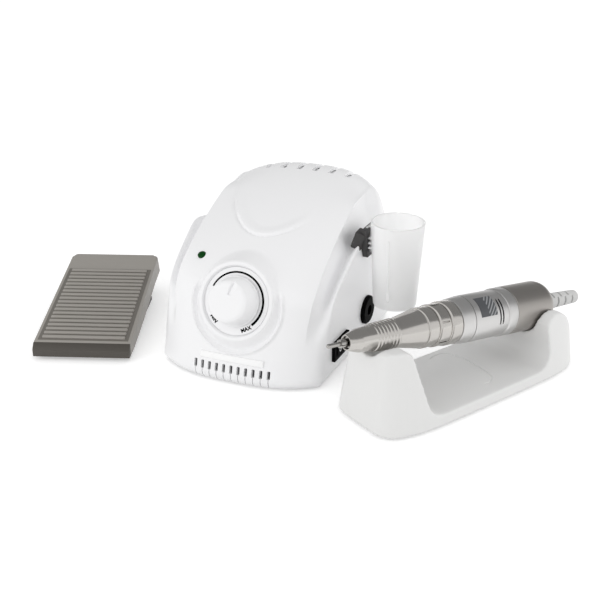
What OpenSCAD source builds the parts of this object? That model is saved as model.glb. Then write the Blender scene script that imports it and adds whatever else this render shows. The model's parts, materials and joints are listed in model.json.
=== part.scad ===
// Nail drill machine: a control unit, a handpiece lying on its cradle, and a foot pedal.
// Millimetres, +Z up. The origin is the middle of the control unit's underside and the
// unit's front faces -Y. Everything stands on rubber feet, a foot's height below zero.

/* [Control unit shell] */
// Reach of the front wall at its foot, forward of the origin
unit_front = 77; // [72:1:84]
// Reach of the rear wall behind the origin
unit_rear = 78; // [72:1:86]
// Height of the crown
unit_height = 94; // [90:1:102]
// Half width at the middle of the side walls
unit_half_w = 55.5; // [53:0.5:62]
// How far the side walls spread outwards per millimetre of depth
side_flare = 0.07; // [0:0.01:0.1]
// Lean of the front wall from upright, in degrees
front_lean = 13.5; // [10:0.5:17]
// Place of the crown's highest line behind the origin
crown_y = 47; // [40:1:54]
// Half width of the raised hood
hood_half = 41.5; // [38:0.5:44]
// Depth of the scoop beside the hood
scoop_depth = 5.5; // [2:0.5:7]
// Wall of the shell
shell_wall = 2.4; // [1.8:0.1:3]
// Thickness of the base plate
base_t = 2.5; // [2:0.1:4]
// Height of all the rubber feet
foot_h = 1.5; // [1:0.1:3]
// Radius of the unit's feet
foot_r = 6; // [4:0.5:8]
// Depth of the pockets that hold the unit's feet
foot_seat = 0.8; // [0.5:0.1:1.2]

/* [Vents] */
// Count of the front vent slots
vent_n = 11; // [7:2:13]
// Pitch of the front vent slots
vent_pitch = 4.6; // [4:0.1:5]
// Width of a front vent slot
vent_w = 2.2; // [1.5:0.1:3]
// Height of the top of the front vent slots
vent_top = 10.5; // [8:0.5:12]
// Pitch of the six vent slots in the crown
crown_vent_pitch = 11; // [9:0.5:12]
// Width of a crown vent slot
crown_vent_w = 4; // [2:0.5:5]
// Length of a crown vent slot
crown_vent_l = 34; // [28:1:36]

/* [Speed dial] */
// Height of the dial's centre
dial_height = 47.5; // [44:0.5:52]
// Lean of the dial's face from upright, in degrees
dial_lean = 22; // [20:0.5:24]
// Radius of the round pod that carries the dial
pod_r = 23; // [22:0.5:26]
// Radius of the dial plate
dial_r = 19.5; // [19:0.5:21]
// Thickness of the dial plate
dial_t = 1; // [0.6:0.1:1.4]
// Radius of the knob
knob_r = 14.5; // [13:0.5:16]
// Height of the knob
knob_h = 13; // [11:0.5:15]
// Radius of the potentiometer shaft
pot_shaft_r = 3; // [2.5:0.1:3.5]
// Turn of the knob's pointer from upright at rest, in degrees
pointer_turn = -16; // [-130:1:130]
// Radius of the power lamp
lamp_r = 2.5; // [1.5:0.1:3]

/* [Side fittings] */
// Place of the rocker switch along the right wall
rocker_y = -38; // [-42:0.5:-34]
// Height of the rocker switch
rocker_z = 16; // [14:0.5:20]
// Length of the rocker switch bezel
rocker_l = 21; // [19:0.5:23]
// Width of the rocker switch bezel
rocker_w = 11.5; // [10.5:0.5:13]
// Place of the handpiece socket along the right wall
socket_y = 3.5; // [0:0.5:8]
// Height of the handpiece socket
socket_z = 21.5; // [18:0.5:25]
// Radius of the handpiece socket's collar
socket_r = 9; // [8:0.5:10]
// Radius of the handpiece plug hole
socket_bore_r = 3.25; // [2.5:0.05:4]

/* [Bit cup] */
// Outer radius at the cup's rim
cup_top_r = 16; // [14:0.5:18]
// Outer radius at the cup's foot
cup_foot_r = 13; // [11:0.5:15]
// Height of the cup
cup_h = 52; // [46:1:58]
// Wall of the cup
cup_wall = 1.4; // [1:0.1:2]
// Height of the cup's foot above the unit's underside
cup_z = 31; // [27:0.5:34]
// Place of the cup along the right wall
cup_y = 1; // [-4:0.5:6]

/* [Handpiece] */
// Length of the nose with its cone
nose_l = 48; // [44:1:54]
// Radius of the nose at its tip
nose_tip_r = 4; // [3.8:0.1:4.6]
// Radius at the wide end of the nose
nose_end_r = 10.8; // [10.4:0.1:11.4]
// Count of grip rings on the nose
grip_n = 7; // [5:1:9]
// Length of the twist lock collar
collar_l = 25; // [20:1:30]
// Length of the front band
band_l = 9; // [7:0.5:12]
// Length of the barrel
barrel_l = 26.5; // [24:0.5:32]
// Outer radius of the barrel
barrel_r = 13.5; // [13.2:0.1:14.5]
// Length of the rear ring
ring_l = 7.5; // [5:0.5:10]
// Length of the rear sleeve
sleeve_l = 35; // [33:1:42]
// Outer radius of the rear sleeve
sleeve_r = 14.1; // [14:0.1:15.5]
// Length of the strain relief outside the sleeve
relief_l = 32; // [26:1:40]
// Radius of the strain relief at its root
relief_r = 5; // [4.6:0.1:5.6]
// Radius of the cord hole through the strain relief
relief_bore_r = 2.5; // [2.4:0.1:2.8]
// Radius of the pin held by the collet
pin_r = 1.175; // [1:0.025:1.6]
// Length of pin that stands out of the collet
pin_out = 8; // [4:1:20]

/* [Cradle] */
// Place of the cradle's middle across the table
cradle_x = 122.7; // [118:0.5:135]
// Place of the cradle's middle along the table
cradle_y = -26.5; // [-36:0.5:-16]
// Turn of the cradle on the table, in degrees
cradle_turn = 57.6; // [50:0.2:64]
// Length of the cradle's foot
cradle_l = 147; // [140:1:156]
// Greatest width of the cradle's foot
cradle_w = 56; // [52:1:62]
// Height of the cradle's front post
front_post_h = 46; // [44:0.5:48]
// Height of the cradle's rear arms
rear_post_h = 37; // [34:0.5:40]
// Height of the cradle's open floor
cradle_floor = 6.5; // [5:0.5:9]
// Height of the handpiece's axis over the front end of the cradle's foot
axis_front_z = 50.2; // [49:0.2:52]
// Fall of the handpiece from nose to tail, in degrees
hand_pitch = 7.3; // [6:0.1:8.5]

/* [Foot pedal] */
// Place of the pedal's front edge middle across the table
pedal_x = -96.2; // [-120:0.5:-92]
// Place of the pedal's front edge middle along the table
pedal_y = -82.6; // [-100:0.5:-60]
// Turn of the pedal on the table, in degrees
pedal_turn = 18.7; // [0:0.1:30]
// Width of the treadle
pedal_w = 59; // [52:1:68]
// Depth of the treadle along the floor to its rear edge
pedal_d = 103.7; // [98:0.5:112]
// Height of the treadle's rear edge
pedal_rear_h = 25.7; // [24:0.5:30]
// Height of the treadle's front lip
pedal_front_h = 8.6; // [8:0.2:10]
// Wall of the treadle
pedal_wall = 2.2; // [1.8:0.1:3]
// Count of the cross ribs on the treadle
rib_n = 20; // [14:1:24]
// Radius of the hinge pin
hinge_r = 1.5; // [1.2:0.1:1.8]

/* [Clearances] */
// Gap between fixed pieces that lie in one another
seat_gap = 0.3; // [0.2:0.05:0.4]
// Radial gap of shafts and pins that turn
run_gap = 0.05; // [0.02:0.01:0.08]

/* [Hidden] */
$fn = 64;
eps = 0.01;

// Helpers
function mix(a, b, k) = a + (b - a) * k;
function ease(a, b, v) = let (k = min(1, max(0, (v - a) / (b - a)))) k * k * (3 - 2 * k);
function bezier(p, t) = p[0] * pow(1 - t, 3) + p[1] * 3 * t * pow(1 - t, 2)
    + p[2] * 3 * t * t * (1 - t) + p[3] * pow(t, 3);
function arc(c, r, a0, a1, n) = [for (k = [0:n]) let (a = mix(a0, a1, k / n)) c + r * [cos(a), sin(a)]];

// Section of the control unit on its midplane, from the front foot over the crown to the rear
front_bend = 22;
crown_reach = 45;
rear_reach = 15;
rear_bend = 30;
crown_slope = [1, 0.1];
rear_seat_h = unit_height - 32;
rear_lean = 1.5;
front_foot = [-unit_front, 0];
dial_seat = [-unit_front + dial_height * tan(front_lean), dial_height];
crown = [crown_y, unit_height - 1];
rear_seat = [unit_rear - rear_lean, rear_seat_h];
rear_foot = [unit_rear, 0];
crown_curve = [dial_seat, dial_seat + front_bend * [sin(front_lean), cos(front_lean)],
    crown - crown_reach * crown_slope, crown];
rear_curve = [crown, crown + rear_reach * crown_slope, rear_seat + [0, rear_bend], rear_seat];
tuck = 0.035;
tuck_h = 5;
front_rows = 4;
crown_rows = 9;
rear_rows = 5;
back_rows = 2;
front_knee = mix(front_foot, dial_seat, tuck_h / dial_height);
rear_knee = mix(rear_foot, rear_seat, tuck_h / rear_seat_h);
profile = concat([front_foot],
    [for (k = [0:front_rows - 1]) mix(front_knee, dial_seat, k / front_rows)],
    [for (k = [0:crown_rows - 1]) bezier(crown_curve, k / crown_rows)],
    [for (k = [0:rear_rows - 1]) bezier(rear_curve, k / rear_rows)],
    [for (k = [0:back_rows]) mix(rear_seat, rear_knee, k / back_rows)], [rear_foot]);
last_row = len(profile) - 1;
function tangent(i) = profile[min(i + 1, last_row)] - profile[max(i - 1, 0)];
function inward(i) = let (t = tangent(i)) [t[1], -t[0]] / norm(t);

// Plan rounding of the front and rear walls, and the fall of the hood towards its sides
front_round = 13;
round_at = 50;
side_fall = 3;
function plan(x) = front_round * pow(abs(x) / round_at, 3);
function fall(x) = side_fall * pow(x / hood_half, 2);
function turn_back(y) = 1 - 2.5 * ease(round_at - 100, unit_rear, y);
function side_x(y) = unit_half_w + side_flare * y;

// The scoop beside the hood in front, and the round shoulder behind it
shoulder_depth = 26;
function scoop(p) = scoop_depth * ease(dial_height / 2, dial_height + 12, p[1])
    * (1 - 0.4 * ease(-20, crown_y, p[0])) * (1 - ease(crown_y + 13, unit_rear - 2, p[0]));
function shoulder(p) = shoulder_depth * ease(-30, crown_y - 7, p[0])
    * (1 - ease(unit_rear - 12, unit_rear - 1, p[0]));

// The shell's foot is tucked in a little
function tucked(p) = let (k = min(1, max(0, 1 - p[2] / tuck_h)), s = 1 - tuck * k * k)
    [p[0] * s, p[1] * s, p[2]];

// One point of the shell's skin: row i along the section, column j across it
hood_cols = 6;
side_cols = 4;
wall_cols = 2;
step_w = 1;
ridge_col = hood_cols + 1 + side_cols;
last_col = ridge_col + wall_cols;
function skin_point(i, j, inset) = let (
    p = profile[i], n = inward(i), a = abs(j), on_hood = a <= hood_cols,
    hood_x = hood_half - inset / 2,
    back = turn_back(p[0]),
    guess = side_x(p[0]) - inset,
    side = side_x(p[0] + plan(guess) * back) - inset,
    e = on_hood ? 0 : min(1, (a - hood_cols - 1) / side_cols),
    x = on_hood ? hood_x * a / hood_cols : mix(hood_x + step_w, side, e),
    dent = on_hood ? 0 : scoop(p) * pow(1 - e, 1.4) + shoulder(p) * e * e,
    q = p + n * (inset + dent) + [plan(x) * back, -fall(x) * ease(0, dial_height, p[1])],
    on_rim = i == 0 || i == last_row || a == last_col,
    z = on_rim ? 0 : a <= ridge_col ? q[1] : min(tuck_h, q[1] / 2))
    tucked([sign(j) * x, q[0], z]);

// The shell as a closed sheet of that thickness, with a flat rim
cols = 2 * last_col + 1;
rows = last_row + 1;
function at(i, j) = i * cols + (i == 0 || i == last_row ? max(wall_cols, min(cols - 1 - wall_cols, j)) : j);
module shell_skin() {
    outer = [for (i = [0:last_row], j = [-last_col:last_col]) skin_point(i, j, 0)];
    inner = [for (i = [0:last_row], j = [-last_col:last_col]) skin_point(i, j, shell_wall)];
    points = concat(outer, inner);
    half = rows * cols;
    quads = concat(
        [for (i = [0:rows - 2], j = [0:cols - 2]) [at(i, j), at(i + 1, j), at(i + 1, j + 1), at(i, j + 1)]],
        [for (i = [0:rows - 2], j = [0:cols - 2])
            [half + at(i, j + 1), half + at(i + 1, j + 1), half + at(i + 1, j), half + at(i, j)]],
        [for (j = [0:cols - 2]) [at(0, j), at(0, j + 1), half + at(0, j + 1), half + at(0, j)]],
        [for (j = [0:cols - 2]) [at(rows - 1, j + 1), at(rows - 1, j),
            half + at(rows - 1, j), half + at(rows - 1, j + 1)]],
        [for (i = [0:rows - 2]) [at(i + 1, 0), at(i, 0), half + at(i, 0), half + at(i + 1, 0)]],
        [for (i = [0:rows - 2]) [at(i, cols - 1), at(i + 1, cols - 1),
            half + at(i + 1, cols - 1), half + at(i, cols - 1)]]);
    triangles = [for (q = quads, f = [[q[0], q[1], q[2]], [q[0], q[2], q[3]]]) f];
    faces = [for (f = triangles) let (o = points[f[0]])
        if (norm(cross(points[f[1]] - o, points[f[2]] - o)) > eps) f];
    polyhedron(points = points, faces = faces);
}

// Plan of the base, set in from the shell's outer face
function base_outline(inset) = let (
    front_x = side_x(-unit_front + plan(side_x(-unit_front))) - inset,
    rear_x = side_x(unit_rear - 1.5 * plan(side_x(unit_rear))) - inset,
    steps = 12)
    (1 - tuck) * concat(
        [for (k = [-steps:steps]) let (x = front_x * k / steps) [x, -unit_front + inset + plan(x)]],
        [for (k = [steps:-1:-steps]) let (x = rear_x * k / steps) [x, unit_rear - inset - 1.5 * plan(x)]]);

// Screw posts of the shell, and the screws through the base plate into them
post_r = 3.6;
post_h = 30;
screw_r = 1.4;
screw_head_r = 2.8;
screw_head_t = 1.6;
post_in = shell_wall + post_r + 1.8;
post_web = post_in - shell_wall / 2;
post_web_t = 2;
post_rows = [-unit_front * 0.7, unit_rear * 0.56];
post_places = [for (s = [-1, 1], y = post_rows) [s * (side_x(y) - post_in), y]];

// Speed dial, seen along its own axis, which looks up more than the front wall does
pod_proud = 0.8;
pod_depth = 20;
dial_sunk = 1.6;
trough_r = pod_r + 3.8;
trough_drop = 2.6;
trough_depth = 3.6;
pot_bush_r = pot_shaft_r + 1.5;
pot_bush_l = 7;
pot_can_r = 8.2;
pot_can_h = 9;
pot_nut_t = 2;
pot_shaft_out = 11;
module dial_frame() {
    translate([0, dial_seat[0], dial_seat[1]]) rotate([90 - dial_lean, 0, 0]) children();
}
module front_frame() {
    translate([0, dial_seat[0], dial_seat[1]]) rotate([90 - front_lean, 0, 0]) children();
}
plate_top = pod_proud - dial_sunk;
pod_face = plate_top - dial_t;
pod_floor = pod_face - shell_wall;

// Power lamp on the hood, upper left of the dial
lamp_x = -30.4;
lamp_along = 0.288;
lamp_step = 0.01;
lamp_mid = bezier(crown_curve, lamp_along);
lamp_run = bezier(crown_curve, lamp_along + lamp_step) - bezier(crown_curve, lamp_along - lamp_step);
lamp_at = [lamp_x, lamp_mid[0] + plan(lamp_x) * turn_back(lamp_mid[0]), lamp_mid[1] - fall(lamp_x)];
lamp_tilt = atan2(lamp_run[0], lamp_run[1]);
module lamp_frame() {
    translate(lamp_at) rotate([90 - lamp_tilt, 0, 0]) children();
}

// A frame on the right wall at a place and height, looking outwards
side_turn = atan(side_flare);
module side_frame(y, z) {
    translate([side_x(y), y, z]) rotate([0, 0, -side_turn]) rotate([90, 0, 90]) children();
}

// A frame on the rear wall at a place and height, looking backwards
function rear_turn(x) = atan(4.5 * front_round * x * abs(x) / pow(round_at, 3));
module rear_frame(x, z) {
    translate([x, unit_rear - rear_lean * z / rear_seat_h - 1.5 * plan(x), z]) rotate([0, 0, -rear_turn(x)])
        rotate([atan(rear_lean / rear_seat_h) - 90, 0, 0]) children();
}

// Front and crown vents as cutters
crown_vent_n = 6;
module slot(l, w, h) {
    translate([-w / 2, 0, 0]) cube([w, l, h]);
    cylinder(d = w, h = h);
    translate([0, l, 0]) cylinder(d = w, h = h);
}
vent_low = base_t + 3;
module vent_cuts() {
    slot_depth = 12;
    for (k = [0:vent_n - 1]) {
        x = (k - (vent_n - 1) / 2) * vent_pitch;
        translate([x - vent_w / 2, -unit_front - 2, vent_low])
            cube([vent_w, slot_depth, vent_top - vent_low]);
    }
    for (k = [0:crown_vent_n - 1]) {
        x = (k - (crown_vent_n - 1) / 2) * crown_vent_pitch;
        translate([x, crown_y - 2, unit_height - 16]) slot(crown_vent_l, crown_vent_w, 20);
    }
}

// Upper shell with its posts, vents and openings
bar_half = 20;
bar_t = 2.4;
bar_z = vent_top + 4;
lamp_gap = 0.1;
module shell_posts() {
    for (p = post_places) translate([p[0], p[1], base_t]) {
        cylinder(r = post_r, h = post_h);
        translate([p[0] > 0 ? 0 : -post_web, -post_web_t / 2, 0]) cube([post_web, post_web_t, post_h]);
    }
    translate([0, -unit_front + bar_z * tan(front_lean), bar_z]) rotate([-front_lean, 0, 0])
        translate([-bar_half, -bar_t / 3, -bar_t / 2]) cube([2 * bar_half, bar_t, bar_t]);
}
module through(r) {
    translate([0, 0, -10]) cylinder(r = r + run_gap, h = 20);
}
module shell_cuts() {
    dial_frame() translate([0, 0, -2 * pod_depth]) cylinder(r = pod_r + run_gap, h = 4 * pod_depth);
    front_frame() trough_part(trough_r + run_gap, -pod_depth, 2 * pod_depth);
    lamp_frame() through(lamp_r + lamp_gap);
    vent_cuts();
    for (p = post_places) translate([p[0], p[1], base_t - 1]) cylinder(r = screw_r, h = post_h * 0.75);
    side_frame(rocker_y, rocker_z) translate([-rocker_l / 2 + 1, -rocker_w / 2 + 1, -10])
        cube([rocker_l - 2, rocker_w - 2, 20]);
    side_frame(socket_y, socket_z) through(socket_neck_r);
    rear_frame(pedal_socket_x, rear_row_z) through(pedal_socket_neck);
    rear_frame(mains_x, rear_row_z) through(mains_neck);
    rear_frame(fuse_x, rear_row_z) through(fuse_neck);
    side_frame(bracket_y, bracket_z) for (s = [-1, 1]) translate([s * bracket_peg_x, 0, 0])
        through(bracket_peg_r);
}
module upper_shell() color("white") difference() {
    union() {
        shell_skin();
        shell_posts();
    }
    union() shell_cuts();
}

// Round dial pod let into the shell, with a sunk crescent below it
trough_top = 4;
trough_rim_t = 1.2;
trough_rim = -2.2;
module trough_part(r, z, h) {
    intersection() {
        translate([0, -trough_drop, z]) cylinder(r = r, h = h);
        translate([-2 * r, -2 * r, z]) cube([4 * r, 2 * r + trough_top, h]);
    }
}
module dial_pod() color("white") difference() {
    union() {
        dial_frame() translate([0, 0, -pod_depth]) cylinder(r = pod_r, h = pod_depth + pod_proud);
        front_frame() difference() {
            trough_part(trough_r, -trough_depth - shell_wall, trough_depth + shell_wall + trough_rim);
            translate([0, -trough_drop, -trough_depth])
                cylinder(r = trough_r - trough_rim_t, h = pod_depth);
        }
    }
    dial_frame() {
        translate([0, 0, -2 * pod_depth]) cylinder(r = pod_r - shell_wall, h = 2 * pod_depth + pod_floor);
        translate([0, 0, pod_face]) cylinder(r = dial_r + seat_gap, h = 5);
        translate([0, 0, pod_floor - 1]) cylinder(r = pot_bush_r + run_gap, h = 10);
    }
}

// Base plate with pillars for the board and the transformer's seat
pillar_h = 8;
pillar_r = 3;
board_w = 62;
board_d = 44;
board_t = 1.6;
board_y = -18;
board_hole_in = 5;
board_screw_r = 1.2;
board_places = [for (sx = [-1, 1], sy = [-1, 1])
    [sx * (board_w / 2 - board_hole_in), board_y + sy * (board_d / 2 - board_hole_in)]];
module base_plate() color("gainsboro") difference() {
    union() {
        linear_extrude(height = base_t) polygon(base_outline(shell_wall + seat_gap));
        for (p = board_places) translate([p[0], p[1], 0]) cylinder(r = pillar_r, h = base_t + pillar_h);
    }
    for (p = board_places) translate([p[0], p[1], base_t]) cylinder(r = board_screw_r, h = pillar_h + 1);
    for (p = post_places) {
        translate([p[0], p[1], -1]) cylinder(r = screw_r + 0.2, h = base_t + 2);
        translate([p[0], p[1], -1]) cylinder(r = screw_head_r + 0.2, h = 1 + screw_head_t);
    }
    for (s = [-1, 1]) translate([s * strap_foot_x, core_y, -1]) cylinder(r = strap_hole_r, h = base_t + 2);
    for (p = foot_places) translate([p[0], p[1], -1]) cylinder(r = foot_r + run_gap, h = 1 + foot_seat);
}

foot_in = 27;
foot_places = [for (s = [-1, 1], y = [-unit_front, unit_rear]) let (at_y = y - sign(y) * foot_in * 0.8)
    [s * (side_x(at_y) - foot_in), at_y]];
module rubber_feet() color("dimgray") for (p = foot_places) translate([p[0], p[1], -foot_h])
    cylinder(r = foot_r, h = foot_h + foot_seat);

module base_screws() color("silver") for (p = post_places) translate([p[0], p[1], 0]) {
    cylinder(r = screw_r - run_gap, h = post_h * 0.6);
    difference() {
        translate([0, 0, 0.1]) cylinder(r = screw_head_r, h = screw_head_t - 0.1);
        translate([-screw_head_r, -0.35, 0]) cube([2 * screw_head_r, 0.7, 0.8]);
    }
}

// Dial plate under the knob
module dial_plate() color("whitesmoke") dial_frame() difference() {
    translate([0, 0, pod_face]) cylinder(r = dial_r, h = dial_t);
    translate([0, 0, pod_face - 1]) cylinder(r = pot_bush_r + run_gap, h = dial_t + 2);
}

knob_lift = 0.8;
knob_round = 1.4;
knob_taper = 2.9;
pointer_w = 1.4;
knob_base = plate_top + knob_lift;
knob_top_r = knob_r - knob_taper;
shaft_top = knob_base + pot_shaft_out - 1;
pot_nut_top = plate_top + pot_nut_t;
module speed_knob() color("whitesmoke") dial_frame() difference() {
    rotate_extrude() polygon(concat([[0, knob_base], [knob_r, knob_base]],
        arc([knob_top_r - knob_round, knob_base + knob_h - knob_round], knob_round, 0, 90, 6),
        [[0, knob_base + knob_h]]));
    translate([0, 0, knob_base - 1])
        cylinder(r = pot_shaft_r + run_gap, h = shaft_top - knob_base + 1 + seat_gap);
    translate([0, 0, knob_base - 1])
        cylinder(r = pot_nut_r + 1, h = pot_nut_top - knob_base + 1 + seat_gap);
    rotate([0, 0, pointer_turn]) translate([-pointer_w / 2, knob_top_r * 0.4, knob_base + knob_h - 1])
        cube([pointer_w, knob_r, 3]);
}

module pot_shaft() color("silver") dial_frame() difference() {
    translate([0, 0, pod_floor - pot_can_h + 1])
        cylinder(r = pot_shaft_r, h = shaft_top - pod_floor + pot_can_h - 1);
    translate([-0.4, -pot_shaft_r - 1, shaft_top - 5]) cube([0.8, 2 * pot_shaft_r + 2, 6]);
}

module potentiometer() color("darkgray") dial_frame() difference() {
    union() {
        translate([0, 0, pod_floor - pot_can_h]) cylinder(r = pot_can_r, h = pot_can_h);
        translate([0, 0, pod_floor - eps]) cylinder(r = pot_bush_r, h = pot_nut_top - pod_floor + eps);
        for (k = [-1:1]) translate([k * 4 - 0.6, -pot_can_r - 5, pod_floor - 3]) cube([1.2, 6, 0.6]);
    }
    translate([0, 0, pod_floor - pot_can_h + 1 - run_gap]) cylinder(r = pot_shaft_r + run_gap, h = 40);
}

pot_nut_r = pot_bush_r + 2.2;
module pot_nut() color("silver") dial_frame() difference() {
    translate([0, 0, plate_top]) cylinder(r = pot_nut_r, h = pot_nut_t, $fn = 6);
    translate([0, 0, plate_top - 1]) cylinder(r = pot_bush_r + run_gap, h = pot_nut_t + 2);
}

lamp_proud = 1.4;
lamp_flange = 1;
lamp_back = shell_wall + 1.4;
module power_lamp() color("green") lamp_frame() {
    translate([0, 0, -lamp_back]) cylinder(r = lamp_r, h = lamp_back);
    intersection() {
        cylinder(r = lamp_r, h = lamp_proud);
        translate([0, 0, lamp_proud - 1.6 * lamp_r]) sphere(r = 1.6 * lamp_r);
    }
    translate([0, 0, -lamp_back - 2]) cylinder(r = lamp_r + lamp_flange, h = 2);
}

// Electronics
board_z = base_t + pillar_h;
module circuit_board() color("seagreen") difference() {
    translate([-board_w / 2, board_y - board_d / 2, board_z]) cube([board_w, board_d, board_t]);
    for (p = board_places) translate([p[0], p[1], board_z - 1])
        cylinder(r = board_screw_r + seat_gap, h = board_t + 2);
}
module board_screws() color("silver") for (p = board_places) translate([p[0], p[1], 0]) {
    translate([0, 0, base_t + 2]) cylinder(r = board_screw_r - run_gap, h = board_z + board_t - base_t - 2);
    translate([0, 0, board_z + board_t]) cylinder(r = 2.4, h = 1.6);
}
sink_x = -20;
sink_w = 16;
sink_d = 26;
sink_h = 20;
sink_fins = 5;
module heat_sink() color("gray") translate([sink_x - sink_w / 2, board_y - sink_d / 2, board_z + board_t]) {
    cube([sink_w, sink_d, 3]);
    for (k = [0:sink_fins - 1]) translate([k * (sink_w - 1.6) / (sink_fins - 1), 0, 2.9])
        cube([1.6, sink_d, sink_h - 2.9]);
}
cap_r = 6;
cap_h = 18;
module capacitors() color("midnightblue") for (k = [-1, 1])
    translate([8 + 7 * k, board_y + 8, board_z + board_t]) difference() {
        cylinder(r = cap_r, h = cap_h);
        for (a = [0, 90]) translate([0, 0, cap_h - 0.6]) rotate([0, 0, a])
            translate([-cap_r, -0.3, 0]) cube([2 * cap_r, 0.6, 1]);
    }
core_w = 44;
core_d = 18;
core_h = 38;
core_y = 40;
leg_w = 7;
coil_gap = 0.3;
module transformer_core() color("dimgray") difference() {
    translate([-core_w / 2, core_y - core_d / 2, base_t]) cube([core_w, core_d, core_h]);
    for (x = [leg_w - core_w / 2, leg_w]) translate([x, core_y - core_d / 2 - 1, base_t + leg_w])
        cube([core_w / 2 - 2 * leg_w, core_d + 2, core_h - 2 * leg_w]);
}
coil_over = 8;
module transformer_coil() color("goldenrod") difference() {
    span = core_w - 2 * leg_w - 2 * coil_gap;
    high = core_h - 2 * leg_w - 2 * coil_gap;
    translate([-span / 2, core_y - core_d / 2 - coil_over, base_t + leg_w + coil_gap])
        cube([span, core_d + 2 * coil_over, high]);
    translate([-leg_w - coil_gap, core_y - core_d / 2 - coil_gap, base_t])
        cube([2 * leg_w + 2 * coil_gap, core_d + 2 * coil_gap, core_h]);
}
strap_t = 1;
strap_d = 10;
strap_foot_l = 10;
strap_foot_x = core_w / 2 + strap_t + strap_foot_l / 2;
strap_hole_r = 1.6;
module transformer_strap() color("lightgray") translate([0, core_y - strap_d / 2, base_t]) difference() {
    union() {
        for (s = [-1, 1]) {
            translate([s * (core_w / 2 + strap_t / 2) - strap_t / 2, 0, 0])
                cube([strap_t, strap_d, core_h + strap_t]);
            translate([s * strap_foot_x - strap_foot_l / 2, 0, 0]) cube([strap_foot_l, strap_d, strap_t]);
        }
        translate([-core_w / 2 - strap_t, 0, core_h]) cube([core_w + 2 * strap_t, strap_d, strap_t]);
    }
    for (s = [-1, 1]) translate([s * strap_foot_x, strap_d / 2, -1])
        cylinder(r = strap_hole_r, h = strap_t + 2);
}

// Rocker switch: frame on the right wall, rocker tilting on its cross pins
rocker_bezel_t = 2;
rocker_body_d = 15;
rocker_pocket = rocker_l - 5.8;
rocker_across = rocker_w - 4.6;
rocker_swing_r = rocker_pocket / 2 - 0.2;
rocker_pivot = rocker_bezel_t - 1;
rocker_wedge = 11;
rocker_rest = -11;
rocker_pin_r = 1.2;
rocker_pin_l = 1.3;
module rocker_frame() color("black") side_frame(rocker_y, rocker_z) difference() {
    union() {
        translate([-rocker_l / 2, -rocker_w / 2, 0]) cube([rocker_l, rocker_w, rocker_bezel_t]);
        translate([-rocker_l / 2 + 1.2, -rocker_w / 2 + 1.2, -rocker_body_d])
            cube([rocker_l - 2.4, rocker_w - 2.4, rocker_body_d + eps]);
    }
    translate([-rocker_pocket / 2, -rocker_across / 2, -rocker_body_d + 2])
        cube([rocker_pocket, rocker_across, rocker_body_d + 2]);
    translate([0, 0, rocker_pivot]) rotate([90, 0, 0]) translate([0, 0, -rocker_across / 2 - rocker_pin_l])
        cylinder(r = rocker_pin_r + run_gap, h = rocker_across + 2 * rocker_pin_l);
}
module power_rocker() color("black") side_frame(rocker_y, rocker_z) translate([0, 0, rocker_pivot])
    rotate([0, rocker_rest, 0]) {
        difference() {
            rotate([90, 0, 0]) translate([0, 0, -rocker_across / 2 + seat_gap])
                cylinder(r = rocker_swing_r, h = rocker_across - 2 * seat_gap);
            for (s = [-1, 1]) rotate([0, s * -rocker_wedge, 0])
                translate([s > 0 ? 0 : -12, -rocker_w, 1.6]) cube([12, 2 * rocker_w, 20]);
            translate([-20, -rocker_w, -30]) cube([40, 2 * rocker_w, 24.5]);
        }
        rotate([90, 0, 0]) translate([0, 0, -rocker_across / 2 - rocker_pin_l + 0.1])
            cylinder(r = rocker_pin_r, h = rocker_across + 2 * rocker_pin_l - 0.2);
    }

// Handpiece socket on the right wall with its nut inside
socket_neck_r = socket_r - 2.5;
socket_collar_t = 2.5;
socket_body_l = 20;
socket_bore_l = 18;
socket_nut_t = 3;
module handpiece_socket() color("black") side_frame(socket_y, socket_z) difference() {
    union() {
        rotate_extrude() polygon([[0, 0], [socket_r, 0], [socket_r, socket_collar_t - 1],
            [socket_r - 1, socket_collar_t], [0, socket_collar_t]]);
        translate([0, 0, -socket_body_l]) cylinder(r = socket_neck_r, h = socket_body_l + eps);
    }
    translate([0, 0, socket_collar_t - socket_bore_l]) cylinder(r = socket_bore_r, h = socket_bore_l + 1);
}
module socket_nut() color("silver") side_frame(socket_y, socket_z) difference() {
    translate([0, 0, -shell_wall - seat_gap - socket_nut_t])
        cylinder(r = socket_neck_r + 3, h = socket_nut_t, $fn = 6);
    translate([0, 0, -20]) cylinder(r = socket_neck_r + run_gap, h = 30);
}

// Fittings on the rear wall
rear_row_z = 22;
pedal_socket_x = -28;
pedal_socket_neck = 4;
pedal_bore_r = 1.8;
pedal_bore_l = 14;
module pedal_socket() color("black") rear_frame(pedal_socket_x, rear_row_z) difference() {
    union() {
        cylinder(r = pedal_socket_neck + 2, h = 2);
        translate([0, 0, -16]) cylinder(r = pedal_socket_neck, h = 16 + eps);
    }
    translate([0, 0, 2 - pedal_bore_l]) cylinder(r = pedal_bore_r, h = pedal_bore_l + 1);
}
mains_x = 0;
mains_neck = 6;
mains_bore_r = 3.6;
mains_l = 14;
module mains_gland() color("black") rear_frame(mains_x, rear_row_z) difference() {
    union() {
        cylinder(r = mains_neck + 2, h = 3);
        translate([0, 0, -mains_l + 3]) cylinder(r = mains_neck, h = mains_l - 3 + eps);
    }
    translate([0, 0, -mains_l]) cylinder(r = mains_bore_r, h = mains_l + 10);
}
fuse_x = 28;
fuse_neck = 6;
module fuse_cap() color("black") rear_frame(fuse_x, rear_row_z) difference() {
    union() {
        cylinder(r = fuse_neck + 1.5, h = 2);
        translate([0, 0, 1.9]) cylinder(r = fuse_neck - 0.5, h = 4);
        translate([0, 0, -14]) cylinder(r = fuse_neck, h = 14 + eps);
    }
    translate([-fuse_neck, -0.6, 4.4]) cube([2 * fuse_neck, 1.2, 3]);
}

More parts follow.
